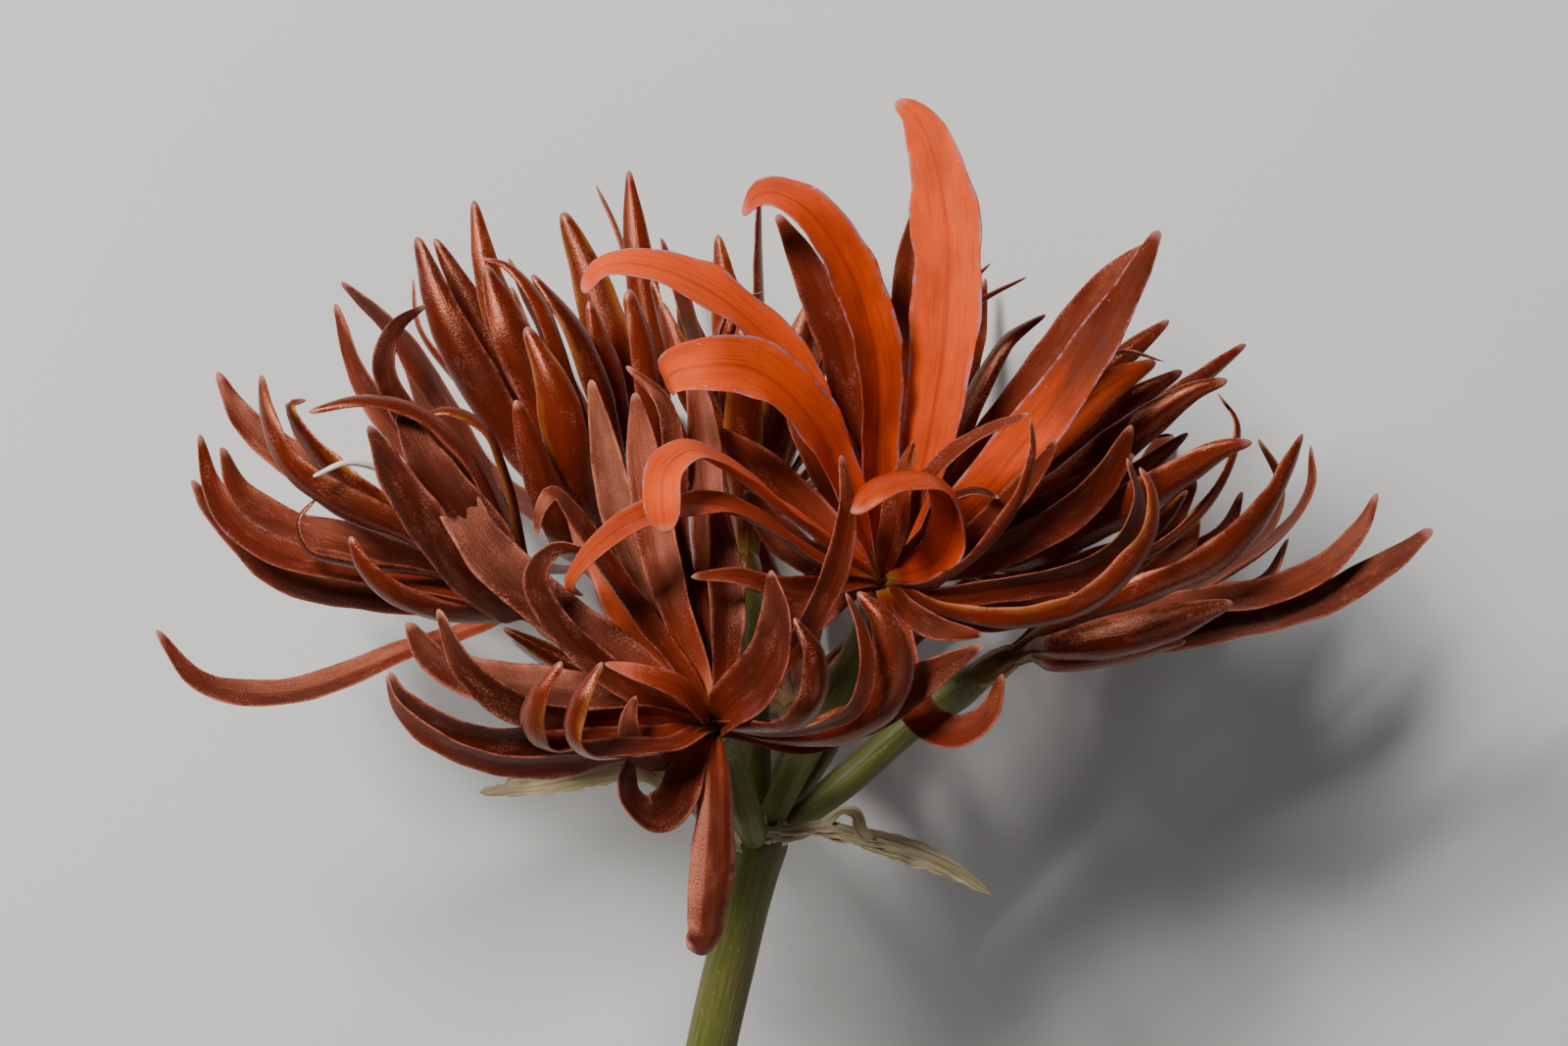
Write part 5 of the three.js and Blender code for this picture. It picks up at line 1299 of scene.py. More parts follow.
@dataclass(frozen=True)
class TepalFinish:
    """The skin of a tepal: satin, finely grained, with long veins, pale margins and a pale tip.

    Each main colour has a deep one that it is mottled with, and that also lays painted shade towards
    the throat and on tepals in shade. The inner side and the outer side, or back, have colours of
    their own. The glow is the inner side's towards the throat.
    """

    name: str
    slot: str
    flame: Colour = (0.80, 0.080, 0.009)
    flame_deep: Colour = (0.44, 0.031, 0.002)
    red: Colour = (0.40, 0.040, 0.0045)
    red_deep: Colour = (0.14, 0.011, 0.002)
    inner: Colour = (0.135, 0.013, 0.0035)
    inner_deep: Colour = (0.036, 0.0028, 0.001)
    outer: Colour = (0.155, 0.016, 0.0042)
    outer_deep: Colour = (0.046, 0.0040, 0.0012)
    glow: Colour = (0.30, 0.030, 0.004)
    rim: Colour = (0.42, 0.115, 0.075)
    back_rim: Colour = (0.36, 0.115, 0.010)
    tip: Colour = (0.60, 0.27, 0.21)
    throat: Colour = (0.34, 0.27, 0.05)
    tube: Colour = (0.15, 0.13, 0.026)
    dust: Colour = (0.36, 0.092, 0.050)
    # The pale colour of the skin's frosting and of the painted sparkle, and of the painted lit band.
    frost_and_sparkle: Colour = (0.74, 0.25, 0.17)
    vein: Colour = (0.45, 0.30, 0.28)
    fibre: Colour = (0.8, 0.2, 0.08)
    groove: Colour = (0.5, 0.32, 0.3)
    fleck: Colour = (0.75, 0.62, 0.7)
    lilac: Colour = (0.38, 0.24, 0.36)
    sheen: tuple[float, float, float, float] = (1.0, 0.37, 0.23, 1.0)
    rough: float = 0.22
    gloss: float = 0.9
    rim_share: float = 0.6
    vein_height: float = 0.00006
    grain_height: float = 0.00004

    def material(self) -> bpy.types.Material:
        """Builds the material.

        Returns:
            The material.
        """
        g = Graph(self.name)
        at = TepalMap(g)
        colour = self.lay_frost_and_sparkle(g, at, self.edged(g, at, self.veined(g, at, self.body(g, at))))
        normal = g.bump(at.veins * 0.55 + at.fibres * 0.25, self.vein_height)
        return g.surface({
            "Base Color": colour,
            "Roughness": self.rough + at.inner * 0.24 + (at.grain - 0.5) * 0.4 + at.dust_and_lit_band * 0.08,
            "Normal": g.bump(at.grain, self.grain_height, normal),
            "Specular IOR Level": self.gloss,
            "Specular Tint": self.sheen,
        })

    def body(self, g: Graph, at: TepalMap) -> bpy.types.NodeSocket:
        """Mixes the main colours of both sides.

        Args:
            g: The material's graph.
            at: Where the point lies.

        Returns:
            The colour.
        """
        face = g.mix(at.deep, self.inner, self.inner_deep)
        face = g.mix(at.red, face, g.mix(at.deep, self.red, self.red_deep))
        face = g.mix(at.share.rise(0.5, 0.08) * (0.55 + 0.3 * at.clouds), face, self.glow)
        back = g.mix(at.deep, self.outer, self.outer_deep)
        back = g.mix(at.red * 0.6, back, self.red_deep)
        gold = at.edge.rise(0.45, 0.95) * at.warm.rise(0.4, 1.0) * at.clouds.rise(0.4, 0.6)
        back = g.mix(gold, back, self.back_rim)
        # Lit tones take the flame colour, partly the tepal's own and partly painted light.
        faded = at.fade * (at.share + (at.clouds - 0.5) * 0.15).rise(0.42, 0.68)
        kept = at.lit * (0.7 + 0.3 * at.inner) * (1 - faded)
        return g.mix(kept, g.mix(at.inner, back, face), g.mix(at.deep, self.flame, self.flame_deep))

    def veined(self, g: Graph, at: TepalMap, colour: bpy.types.NodeSocket) -> bpy.types.NodeSocket:
        """Lays the veins, the fibres and the groove over the midrib on a colour.

        Args:
            g: The material's graph.
            at: Where the point lies.
            colour: The colour under them.

        Returns:
            The colour with them.
        """
        colour = g.mix(at.veins.rise(0.5, 0.72) * 0.34, colour, self.vein, "MULTIPLY")
        colour = g.mix(at.fibres.rise(0.52, 0.8) * 0.06, colour, self.fibre, "SCREEN")
        return g.mix(at.edge.rise(0.13, 0.0) * at.inner * 0.5, colour, self.groove, "MULTIPLY")

    def edged(self, g: Graph, at: TepalMap, colour: bpy.types.NodeSocket) -> bpy.types.NodeSocket:
        """Lays margins, dust, a painted lit band, flecks, the tip and the throat on a colour.

        Args:
            g: The material's graph.
            at: Where the point lies.
            colour: The colour under them.

        Returns:
            The colour with them.
        """
        rim = (at.edge + at.dust_and_lit_band * 0.2 + (at.grain - 0.5) * 0.3).rise(0.86, 1.04)
        colour = g.mix(rim * at.worn.rise(0.3, 0.6) * self.rim_share, colour, self.rim)
        dust = at.dust_and_lit_band * at.clouds.rise(0.4, 0.75) * (0.1 + 0.3 * at.share)
        colour = g.mix(dust, colour, self.dust)
        # Only the one tepal that is bowed has a dust value high enough for this pale band along one
        # half:
        # painted light on the half that faces the light, laid in a grain.
        band = at.dust_and_lit_band.rise(1.08, 1.18) * at.across.rise(0.26, 0.4)
        band = band * at.share.rise(0.2, 0.4) * at.share.rise(0.97, 0.9)
        colour = g.mix(band * at.grain.rise(0.38, 0.66) * 0.55, colour, self.frost_and_sparkle)
        spot, chance = g.cells(g.vector(at.span, at.run, at.number), 1.5)
        flecks = spot.rise(0.18, 0.1) * chance.rise(0.86, 0.9) * at.edge.rise(0.5, 0.9)
        colour = g.mix(flecks * (0.15 + 0.85 * at.lit) * 0.7, colour, self.fleck)
        lilac = at.edge.rise(0.88, 1.0) * at.worn.rise(0.42, 0.6) * at.lit * at.inner
        colour = g.mix(lilac * 0.75, colour, self.lilac)
        colour = g.mix(at.share.rise(0.965, 1.0) * 0.6, colour, self.tip)
        foot = g.mix(at.inner, self.tube, self.throat)
        return g.mix(at.share.rise(0.16, 0.03) * 0.8, colour, foot)

    def lay_frost_and_sparkle(self, g: Graph, at: TepalMap, colour: bpy.types.NodeSocket) -> bpy.types.NodeSocket:
        """Lays the pale grain on a colour: partly a pale frosting of the skin, partly painted
        sparkle.

        Args:
            g: The material's graph.
            at: Where the point lies.
            colour: The colour under it.

        Returns:
            The colour with it.
        """
        # The pale grain is partly the skin's frosting and partly painted sparkle, where highlights
        # would glint.
        places = at.patches.rise(0.5, 0.72) * 0.5 + at.edge.rise(0.6, 1.0) * 0.3
        frost_and_sparkle = at.grain.rise(0.46, 0.7) * places * (1 - 0.75 * at.lit)
        return g.mix(frost_and_sparkle * at.share.rise(0.12, 0.35) * 0.75, colour, self.frost_and_sparkle)


@dataclass(frozen=True)
class StemFinish:
    """A waxy green skin with fine lines and pale dots, and moist pith at its cut end."""

    name: str
    slot: str
    green: Colour
    shade: Colour
    blush: Colour
    cut: Colour = (0.46, 0.50, 0.27)
    pith: Colour = (0.62, 0.64, 0.42)
    young: Colour = (0.24, 0.25, 0.06)
    dot: Colour = (0.42, 0.43, 0.24)
    line: Colour = (0.55, 0.6, 0.4)
    rough: float = 0.44
    gloss: float = 0.35
    line_height: float = 0.00014

    def material(self) -> bpy.types.Material:
        """Builds the material.

        Returns:
            The material.
        """
        g = Graph(self.name)
        x, y, run = g.mark("leaf")
        _, share, _ = g.mark("place")
        lines = g.streaks(x * 2.6, y * 2.6, run * 0.1, 3)
        fine = g.streaks(x * 7, y * 7, run * 0.35)
        clouds = g.streaks(x * 0.22, y * 0.22, run * 0.06, 3)
        colour = g.mix(lines.rise(0.25, 0.8), self.green, self.shade)
        colour = g.mix(clouds.rise(0.45, 0.75) * 0.55, colour, self.blush)
        spot, chance = g.cells(g.vector(x * 1.3, y * 1.3, run * 0.7), 1)
        colour = g.mix(spot.rise(0.22, 0.1) * chance.rise(0.7, 0.75) * 0.2, colour, self.dot)
        colour = g.mix(fine.rise(0.5, 0.8) * 0.1, colour, self.line, "SCREEN")
        colour = g.mix(share.rise(0.4, 0.05) * 0.55, colour, self.young)
        colour = g.mix(share.rise(0.93, 1.0) * 0.6, colour, self.blush)
        end = share.rise(0.0012, 0.0)
        pith = g.streaks(x * 2.2, y * 2.2, 0.5, 3)
        colour = g.mix(end, colour, g.mix(pith.rise(0.35, 0.65), self.cut, self.pith))
        return g.surface({
            "Base Color": colour,
            "Roughness": self.rough + (lines - 0.5) * 0.25 + clouds * 0.1 + end * 0.3,
            "Normal": g.bump(lines * 0.7 + fine * 0.3, self.line_height),
            "Specular IOR Level": self.gloss,
        })


@dataclass(frozen=True)
class PaperFinish:
    """A dried bract: papery, ribbed by its fibres, paler at its base, with darker stains."""

    name: str
    slot: str
    pale: Colour
    deep: Colour
    stain: Colour
    base: Colour
    fibre: Colour = (0.8, 0.76, 0.6)
    tip: Colour = (0.20, 0.13, 0.06)
    rough: float = 0.62
    rib_height: float = 0.0003

    def material(self) -> bpy.types.Material:
        """Builds the material.

        Returns:
            The material.
        """
        g = Graph(self.name)
        span, run, number = g.mark("leaf")
        across, share, _ = g.mark("place")
        warm, _, _ = g.mark("mood")
        ribs = g.streaks(span * 3.4, run * 0.1, number, 3)
        fine = g.streaks(span * 11, run * 0.4, number + 3)
        clouds = g.streaks(span * 0.5, run * 0.22, number + 7, 3)
        colour = g.mix(ribs.rise(0.36, 0.66), self.deep, self.pale)
        colour = g.mix(clouds.rise(0.42, 0.7) * (0.25 + 0.3 * warm), colour, self.stain)
        colour = g.mix(fine.rise(0.5, 0.8) * 0.35, colour, self.fibre, "SCREEN")
        colour = g.mix(abs(across).rise(0.8, 1.0) * 0.4, colour, self.pale)
        colour = g.mix(warm * 0.55, colour, self.stain)
        colour = g.mix(share.rise(0.4, 0.1) * 0.7, colour, self.base)
        colour = g.mix(ribs.rise(0.5, 0.3) * fine.rise(0.4, 0.6) * 0.6, colour, self.stain)
        return g.surface({
            "Base Color": g.mix(share.rise(0.93, 1.0) * 0.5, colour, self.tip),
            "Roughness": self.rough + (fine - 0.5) * 0.3,
            "Normal": g.bump(ribs * 0.7 + fine * 0.3, self.rib_height),
        })


@dataclass(frozen=True)
class FilamentFinish:
    """A pale, moist thread, pinker towards its foot."""

    name: str
    slot: str
    pale: Colour
    pink: Colour
    rough: float = 0.3
    cloud_height: float = 0.0001

    def material(self) -> bpy.types.Material:
        """Builds the material.

        Returns:
            The material.
        """
        g = Graph(self.name)
        x, y, run = g.mark("leaf")
        _, share, _ = g.mark("place")
        clouds = g.streaks(x, y, run * 0.4, 3)
        colour = g.mix(share.rise(0.75, 0.3), self.pale, self.pink)
        return g.surface({
            "Base Color": g.mix(clouds.rise(0.45, 0.7) * 0.4, colour, self.pink),
            "Roughness": self.rough + clouds * 0.15,
            "Normal": g.bump(clouds, self.cloud_height),
        })


@dataclass(frozen=True)
class FloorFinish:
    """A pale matt floor."""

    name: str = "floor"
    pale: Colour = (0.78, 0.78, 0.77)
    dim: Colour = (0.74, 0.74, 0.73)
    rough: float = 0.75

    def material(self) -> bpy.types.Material:
        """Builds the material.

        Returns:
            The material.
        """
        g = Graph(self.name)
        at = g.node("ShaderNodeTexCoord", {}, {}).outputs["Object"]
        grain = g.noise(at, 900)
        wide = g.noise(at, 6)
        return g.surface({
            "Base Color": g.mix(wide, self.dim, self.pale),
            "Roughness": self.rough + grain * 0.1,
        })


ORANGE = TepalFinish("tepal_orange", "tepal_orange", rough=0.34, gloss=0.5)
COPPER = TepalFinish("tepal_copper", "tepal_copper")
STEM = StemFinish(
    "stem", "stem",
    green=(0.135, 0.135, 0.024), shade=(0.070, 0.078, 0.012), blush=(0.15, 0.095, 0.032),
)
DRY = PaperFinish(
    "bract", "bract",
    pale=(0.72, 0.61, 0.39), deep=(0.40, 0.31, 0.16),
    stain=(0.19, 0.14, 0.055), base=(0.88, 0.79, 0.56),
)
THREAD = FilamentFinish("filament", "filament", pale=(0.92, 0.80, 0.78), pink=(0.85, 0.48, 0.46))


def marks(
    leaf: Iterable,
    place: Iterable,
    count: int,
    mood: Iterable = (0, 0, 0),
    tone: Iterable = (0, 0, 0),
) -> Marks:
    """Gathers what the materials read at each vertex.

    Args:
        leaf: Millimetres across and along, and a number that tells one tepal from another.
        place: Shares across and along, and which side.
        count: How many vertices there are.
        mood: How warm it is, its painted shade, and its dust, with a painted lit band on a bowed
            tepal.
        tone: How much of the flame colour and of the red it has, and how much it fades.

    Returns:
        One vector a vertex for each of them.
    """
    named = {"leaf": leaf, "place": place, "mood": mood, "tone": tone}
    return {
        name: np.stack([np.broadcast_to(np.asarray(part, float), count) for part in parts], axis=-1)
        for name, parts in named.items()
    }


@dataclass
class Stalk:
    """A round stalk along a line.

    Attributes:
        line: Its middle line.
        shares: Shares of its length.
        radii: Its radius at each of these.
        sides: Faces round it.
        rings: Rings of faces along it.
        lobes: How far it bulges to three sides towards its end, as a share of its radius.
        number: Tells its pattern from another's.
        domed: The share of its length over which its end is rounded.
    """

    line: np.ndarray
    shares: Sequence[float]
    radii: Sequence[float]
    sides: int = 20
    rings: int = 30
    lobes: float = 0.0
    number: float = 0.0
    domed: float = 0.0

    def into(self, skin: Skin, first: float = 0.0, last: float = 1.0) -> None:
        """Adds the stalk to a skin.

        Args:
            skin: The skin.
            first: Where it begins, as a share of what it is part of.
            last: Where it ends.
        """
        mesh, co = TUBES.get(self.sides, self.rings)
        stations = np.linspace(0, 1, self.rings + 1)
        frames = Frames.of(along(self.line, stations), np.array([0.2, 0.1, 1.0]))
        share = 1 - (1 - co[:, 2]) ** 1.6 if self.domed else co[:, 2]
        at, normal, side = frames.at(stations, share)
        radius = np.interp(share, self.shares, self.radii)
        if self.domed:
            radius = radius * rounded_end(share, self.domed)
        turn = np.arctan2(co[:, 1], co[:, 0])
        radius = radius * (1 + self.lobes * np.cos(3 * turn) * smoothstep(share, 0.55, 0.8))
        x, y = co[:, 0] * radius, co[:, 1] * radius
        leaf = (x, y, share * length_of(self.line) + self.number)
        place = (co[:, 0], first + (last - first) * share, -1)
        placed = at + side * x[:, None] + normal * y[:, None]
        skin.add(mesh, placed, marks(leaf, place, len(co), (0.5, 0.5, 0)))


class Piece(Protocol):
    """Anything that the main function builds and dresses."""

    def build(self) -> bpy.types.Object:
        """Builds the piece."""

    def dress(self, made: bpy.types.Object) -> None:
        """Gives the piece its finish and its place in the frame."""


@dataclass
class BloomPiece:
    """One double flower: its tepals and the short tube that they spring from.

    Attributes:
        bloom: Where it is.
        umbel: All the tepals.
        index: The flower's number in the umbel.
        finish: Its finish.
        mood: Its tepals' painted shade and dust, and their tones.
        sides: Faces round a tepal.
        rings: Rings of faces along a tepal.
        centre_thickness: A tepal's thickness at its midrib, to each side.
        margin_thickness: Its thickness at its margins, to each side.
        keel: How far its midrib stands out, as a share of its width.
        bowed_keel: The same for a tepal that is bowed.
        wave: How uneven its width is.
        neck_radius: The tube's radius at the ovary.
        tube_radius: Its radius at its middle.
        mouth_radius: Its radius at the throat.
        tube_below: How far it reaches into the neck.
        tube_above: How far it reaches past the throat.
    """

    bloom: Bloom
    umbel: Umbel
    index: int
    finish: TepalFinish
    mood: Mood
    sides: int = 24
    rings: int = 56
    centre_thickness: float = 0.34
    margin_thickness: float = 0.15
    keel: float = 0.03
    bowed_keel: float = 0.08
    wave: float = 0.045
    neck_radius: float = 1.7
    tube_radius: float = 1.95
    mouth_radius: float = 1.3
    tube_below: float = 1.2
    tube_above: float = 0.9

    def build(self) -> bpy.types.Object:
        """Builds the flower.

        Returns:
            The flower.
        """
        rng = np.random.default_rng(40 + self.index)
        skin = Skin(f"flower_{self.bloom.flower.name}")
        for order, which in enumerate(np.nonzero(self.umbel.owner == self.index)[0]):
            self.tepal(skin, int(which), order, rng)
        ends = np.vstack([
            self.bloom.at - self.bloom.axis * (self.bloom.tube_length + self.tube_below),
            self.bloom.at + self.bloom.axis * self.tube_above,
        ])
        radii = (self.neck_radius, self.tube_radius, self.mouth_radius)
        Stalk(ends, (0, 0.5, 1), radii, 24, 8, domed=0.2).into(skin, 0.03, 0.14)
        return skin.finish()

    def tepal(self, skin: Skin, which: int, order: int, rng: np.random.Generator) -> None:
        """Adds one tepal: channelled, thin at its margins, and closed to its tip.

        Args:
            skin: The flower's skin.
            which: The tepal's number in the umbel.
            order: Its number in its own flower.
            rng: The flower's chance numbers.
        """
        row = self.umbel.tepals[which]
        mesh, co = TUBES.get(self.sides, self.rings)
        stations = np.linspace(0, 1, self.rings + 1)
        points = self.umbel.bent(along(self.bloom.midrib(row, 24), stations), stations, which)
        frames = Frames.of(points, self.umbel.face[which])
        length = length_of(points)
        u, y = co[:, 0], co[:, 1]
        share = 1 - (1 - co[:, 2]) ** 1.5

        half = row.width / 2 * width_at(share, row)
        if row.torn:
            share = share - self.tears(u, rng) * smoothstep(share, 0.8, 1) * 0.09
        else:
            blunt = np.clip(max(0.8 * row.width * row.tip, 0.8) / length, 0, 0.2)
            half = half * rounded_end(share, blunt)
        wide_waves, right_waves, left_waves = (margin_waves(share, length, rng) for _ in range(3))
        half = half * (1 + self.wave * wide_waves)
        rise = self.rise(row, share, half, u, y)
        turn = rng.normal(0, 0.1) * share**2

        cup = np.clip(2 * row.channel * (1.25 - 0.5 * share), 0.05, 1.5)
        bend = cup * u
        bow = -1.0 if row.bowed else 1.0
        ruffle = np.where(u > 0, right_waves, left_waves) * np.abs(u) ** 3 * (0.05 * half + 0.07)
        lift = bow * half * (1 - np.cos(bend)) / cup + ruffle * smoothstep(share, 0.05, 0.3)
        at, normal, side = frames.at(stations, share)
        side, normal = turned(side, normal, turn)
        out = normal * np.cos(bend)[:, None] - side * bow * np.sin(bend)[:, None]
        placed = at + side * (half * np.sin(bend) / cup)[:, None]
        placed = placed + normal * lift[:, None] + out * rise[:, None]

        warm = rng.uniform(0, 1)
        # Each tepal's painted shade varies at random about its bloom's.
        painted_shade = np.clip(rng.normal(self.mood.painted_shade, 0.4), -0.8, 1)
        # A bowed tepal's dust value is raised so that it takes the painted lit band along one half.
        dust_and_lit_band = rng.uniform(0, 0.5) + self.mood.dust_and_lit_band + 1.05 * row.bowed
        leaf = (u * half, share * length, which * 3.7)
        tone = self.mood.tone(order).shares()
        skin.add(mesh, placed, marks(leaf, (u, share, y), len(co), (warm, painted_shade, dust_and_lit_band), tone))

    def rise(
        self, row: Tepal, share: np.ndarray, half: np.ndarray, u: np.ndarray, y: np.ndarray
    ) -> np.ndarray:
        """Works out how far a tepal's skin is from its middle sheet, with the groove and the keel.

        Args:
            row: The tepal.
            share: Shares along it.
            half: Half its width there.
            u: Shares across it.
            y: Which side of the sheet, from -1 to 1.

        Returns:
            Heights over the sheet.
        """
        thinner = (self.centre_thickness - self.margin_thickness) * np.abs(u) ** 2
        thick = (self.centre_thickness - thinner) * smoothstep(half, 0, 0.9) ** 0.7
        height = self.bowed_keel if row.bowed else self.keel
        keel = np.exp(-((u / 0.14) ** 2)) * row.width * height * smoothstep(1 - share, 0, 0.6)
        return slab(y, thick) - np.where(y < -0.5, keel * 1.4, 0) - np.where(y > 0.5, keel, 0)

    @staticmethod
    def tears(u: np.ndarray, rng: np.random.Generator) -> np.ndarray:
        """How far back each strip of a torn tip ends.

        Args:
            u: Shares across the tepal.
            rng: The flower's chance numbers.

        Returns:
            Shares of the torn length.
        """
        places = np.sort(rng.uniform(-1, 1, 9))
        depths = np.where(np.arange(9) % 2 == 0, rng.uniform(0, 0.35, 9), rng.uniform(0.6, 1, 9))
        return np.interp(u, places, depths)

    def dress(self, made: bpy.types.Object) -> None:
        """Gives the flower its finish and its place in the frame."""
        dress(made, self.finish, f"bloom_{self.bloom.flower.name}")


def dress(made: bpy.types.Object, finish: Finish, *nodes: str) -> None:
    """Gives a piece its material, its body and the nodes that it stands for.

    Args:
        made: The piece.
        finish: Its finish.
        nodes: The nodes of the frame that it replaces.
    """
    made.data.materials.append(finish.material())
    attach(made, "root")
    if nodes:
        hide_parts(*nodes)


@dataclass
class ScapePiece:
    """The flower stalk, from its cut end to its swollen top."""

    radius: float = 3.05
    sides: int = 32
    rings: int = 90

    def build(self) -> bpy.types.Object:
        """Builds the stalk.

        Returns:
            The stalk.
        """
        skin = Skin("stalk")
        line = smooth_line(np.array(SCAPE_LINE, float), 16)
        top = unit(line[-1] - line[-2])
        line = np.vstack([line, *(line[-1] + top * past for past in (1.2, 2.4, 3.4))])
        shares = (0, 0.002, 0.5, 0.955, 0.975, 0.99, 1)
        radii = [self.radius * part for part in (0.97, 1, 1, 1, 1.06, 1.14, 1.1)]
        Stalk(line, shares, radii, self.sides, self.rings, domed=0.012).into(skin, 0.0, 0.96)
        return skin.finish()

    def dress(self, made: bpy.types.Object) -> None:
        """Gives the stalk its finish and its place in the frame."""
        dress(made, STEM, "scape")


@dataclass
class PedicelPiece:
    """A bloom's own stalk, with its ovary.

    Attributes:
        bloom: The bloom that it carries.
        number: Its number, which tells its pattern from another's.
        base_radius: Its radius at its foot.
        radius: Its radius farther up.
        ovary_radius: Its greatest radius at the ovary.
        neck_radius: Its radius over the ovary.
        ovary_from: The share of its length where the ovary begins.
        ovary_length: The ovary's own share of it.
        flare: How much wider it is where it springs from the scape.
    """

    bloom: Bloom
    number: int
    base_radius: float = 1.45
    radius: float = 2.05
    ovary_radius: float = 2.45
    neck_radius: float = 1.7
    ovary_from: float = 0.68
    ovary_length: float = 0.32
    flare: float = 0.5

    def build(self) -> bpy.types.Object:
        """Builds the stalk.

        Returns:
            The stalk.
        """
        skin = Skin(f"stalk_{self.bloom.flower.name}")
        shares = np.linspace(0, 1, 41)
        bulge = np.sin(math.pi * (shares - self.ovary_from) / self.ovary_length).clip(0) ** 0.8
        swell = np.where(shares > self.ovary_from, bulge, 0)
        radii = (
            self.base_radius
            + (self.radius - self.base_radius) * np.clip(shares / 0.4, 0, 1)
            + (self.ovary_radius - self.radius) * swell
            + (self.neck_radius - self.radius) * smoothstep(shares, 0.9, 1)
            + self.flare * np.exp(-shares / 0.07)
        )
        line = self.bloom.pedicel_line()
        Stalk(line, shares, radii, 24, 40, lobes=0.05, number=self.number * 31.0).into(skin)
        return skin.finish()

    def dress(self, made: bpy.types.Object) -> None:
        """Gives the stalk its finish and its place in the frame."""
        dress(made, STEM, f"pedicel_{self.bloom.flower.name}")


@dataclass
class Ribbon:
    """A thin dried strip, pleated along its length and curled at its edges.

    Attributes:
        row: Its line and its width.
        pleats: Pleats across half of it.
        pleat_height: How high they are.
        curl: How far its edges rise, as a share of half its width.
        ragged: How uneven its edges are, as a share of half its width.
        turn: How far it twists from end to end.
        thickness: Its thickness to each side.
        warm: How brown it is.
        sides: Faces round it.
        rings: Rings of faces along it.
    """

    row: Tepal
    pleats: float = 2.2
    pleat_height: float = 0.22
    curl: float = 0.5
    ragged: float = 0.12
    turn: float = 0.0
    thickness: float = 0.12
    warm: float = 0.0
    sides: int = 28
    rings: int = 60

    def into(self, skin: Skin, rng: np.random.Generator, number: float) -> None:
        """Adds the strip to a skin.

        Args:
            skin: The skin.
            rng: Chance numbers.
            number: Tells its pattern from another's.
        """
        mesh, co = TUBES.get(self.sides, self.rings)
        stations = np.linspace(0, 1, self.rings + 1)
        points = along(smooth_line(seen(self.row.path), 16), stations)
        frames = Frames.of(points, np.array(self.row.face or (0.1, 0.45, 1.0)))
        u, y, share = co[:, 0], co[:, 1], 1 - (1 - co[:, 2]) ** 1.3
        length = length_of(points)
        half = self.row.width / 2 * width_at(share, self.row) * rounded_end(share, 0.03)
        half = half * (1 + 0.08 * margin_waves(share, length, rng))
        ragged = margin_waves(share, length * 5, rng) * np.where(u > 0, 1.0, 0.4) * self.ragged
        half = half * (1 + ragged * smoothstep(np.abs(u), 0.4, 1) * smoothstep(share, 0, 0.3))
        pleat = np.sin(self.pleats * 2 * math.pi * u + rng.uniform(0, 6) + 2 * share)
        crumple = margin_waves(share, length * 1.6, rng) * (0.25 + 0.45 * u)
        lift = pleat * self.pleat_height + crumple + self.curl * np.abs(u) ** 2.4 * half
        rise = lift * smoothstep(half, 0, 1.6) + slab(y, self.thickness)
        at, normal, side = frames.at(stations, share)
        side, normal = turned(side, normal, self.turn * (share - 0.5))
        placed = at + side * (u * half)[:, None] + normal * rise[:, None]
        leaf = (u * half, share * length, number)
        skin.add(mesh, placed, marks(leaf, (u, share, y), len(co), (self.warm, 0, 0)))


@dataclass
class BractPiece:
    """One of the two dried bracts at the top of the stalk.

    Attributes:
        name: The side that it is on.
        ribbons: Its strips.
        fibres: How many loose strands run along its base.
    """

    name: str
    ribbons: list[Ribbon]
    fibres: int = 0

    def build(self) -> bpy.types.Object:
        """Builds the bract.

        Returns:
            The bract.
        """
        skin = Skin(f"dry_bract_{self.name}")
        rng = np.random.default_rng(70 + len(self.name))
        for i, ribbon in enumerate(self.ribbons):
            ribbon.into(skin, rng, 11.0 * i + len(self.name))
        for i in range(self.fibres):
            self.fibre(rng).into(skin, rng, 7.0 * i + 3.0)
        return skin.finish()

    def fibre(self, rng: np.random.Generator) -> Ribbon:
        """Makes one of the loose strands that run from the stalk's top along the bract's base.

        Args:
            rng: The bract's chance numbers.

        Returns:
            The strand.
        """
        base = np.array(self.ribbons[0].row.path[1 : rng.integers(4, 6)])
        base += rng.uniform((-0.5, -0.9, 0.3), (0.5, 0.9, 1.1), base.shape)
        start = rng.uniform((-1.6, -2.4, 3.3), (1.2, 0.6, 4.0))
        path = (tuple(start), *map(tuple, base))
        row = Tepal(rng.uniform(0.4, 1.1), path, claw=0.6, wide=0.4, tip=0.1)
        return Ribbon(row, pleats=1, pleat_height=0.06, curl=0.2, thickness=0.08)

    def dress(self, made: bpy.types.Object) -> None:
        """Gives the bract its finish and its place in the frame."""
        dress(made, DRY, f"bract_{self.name}")


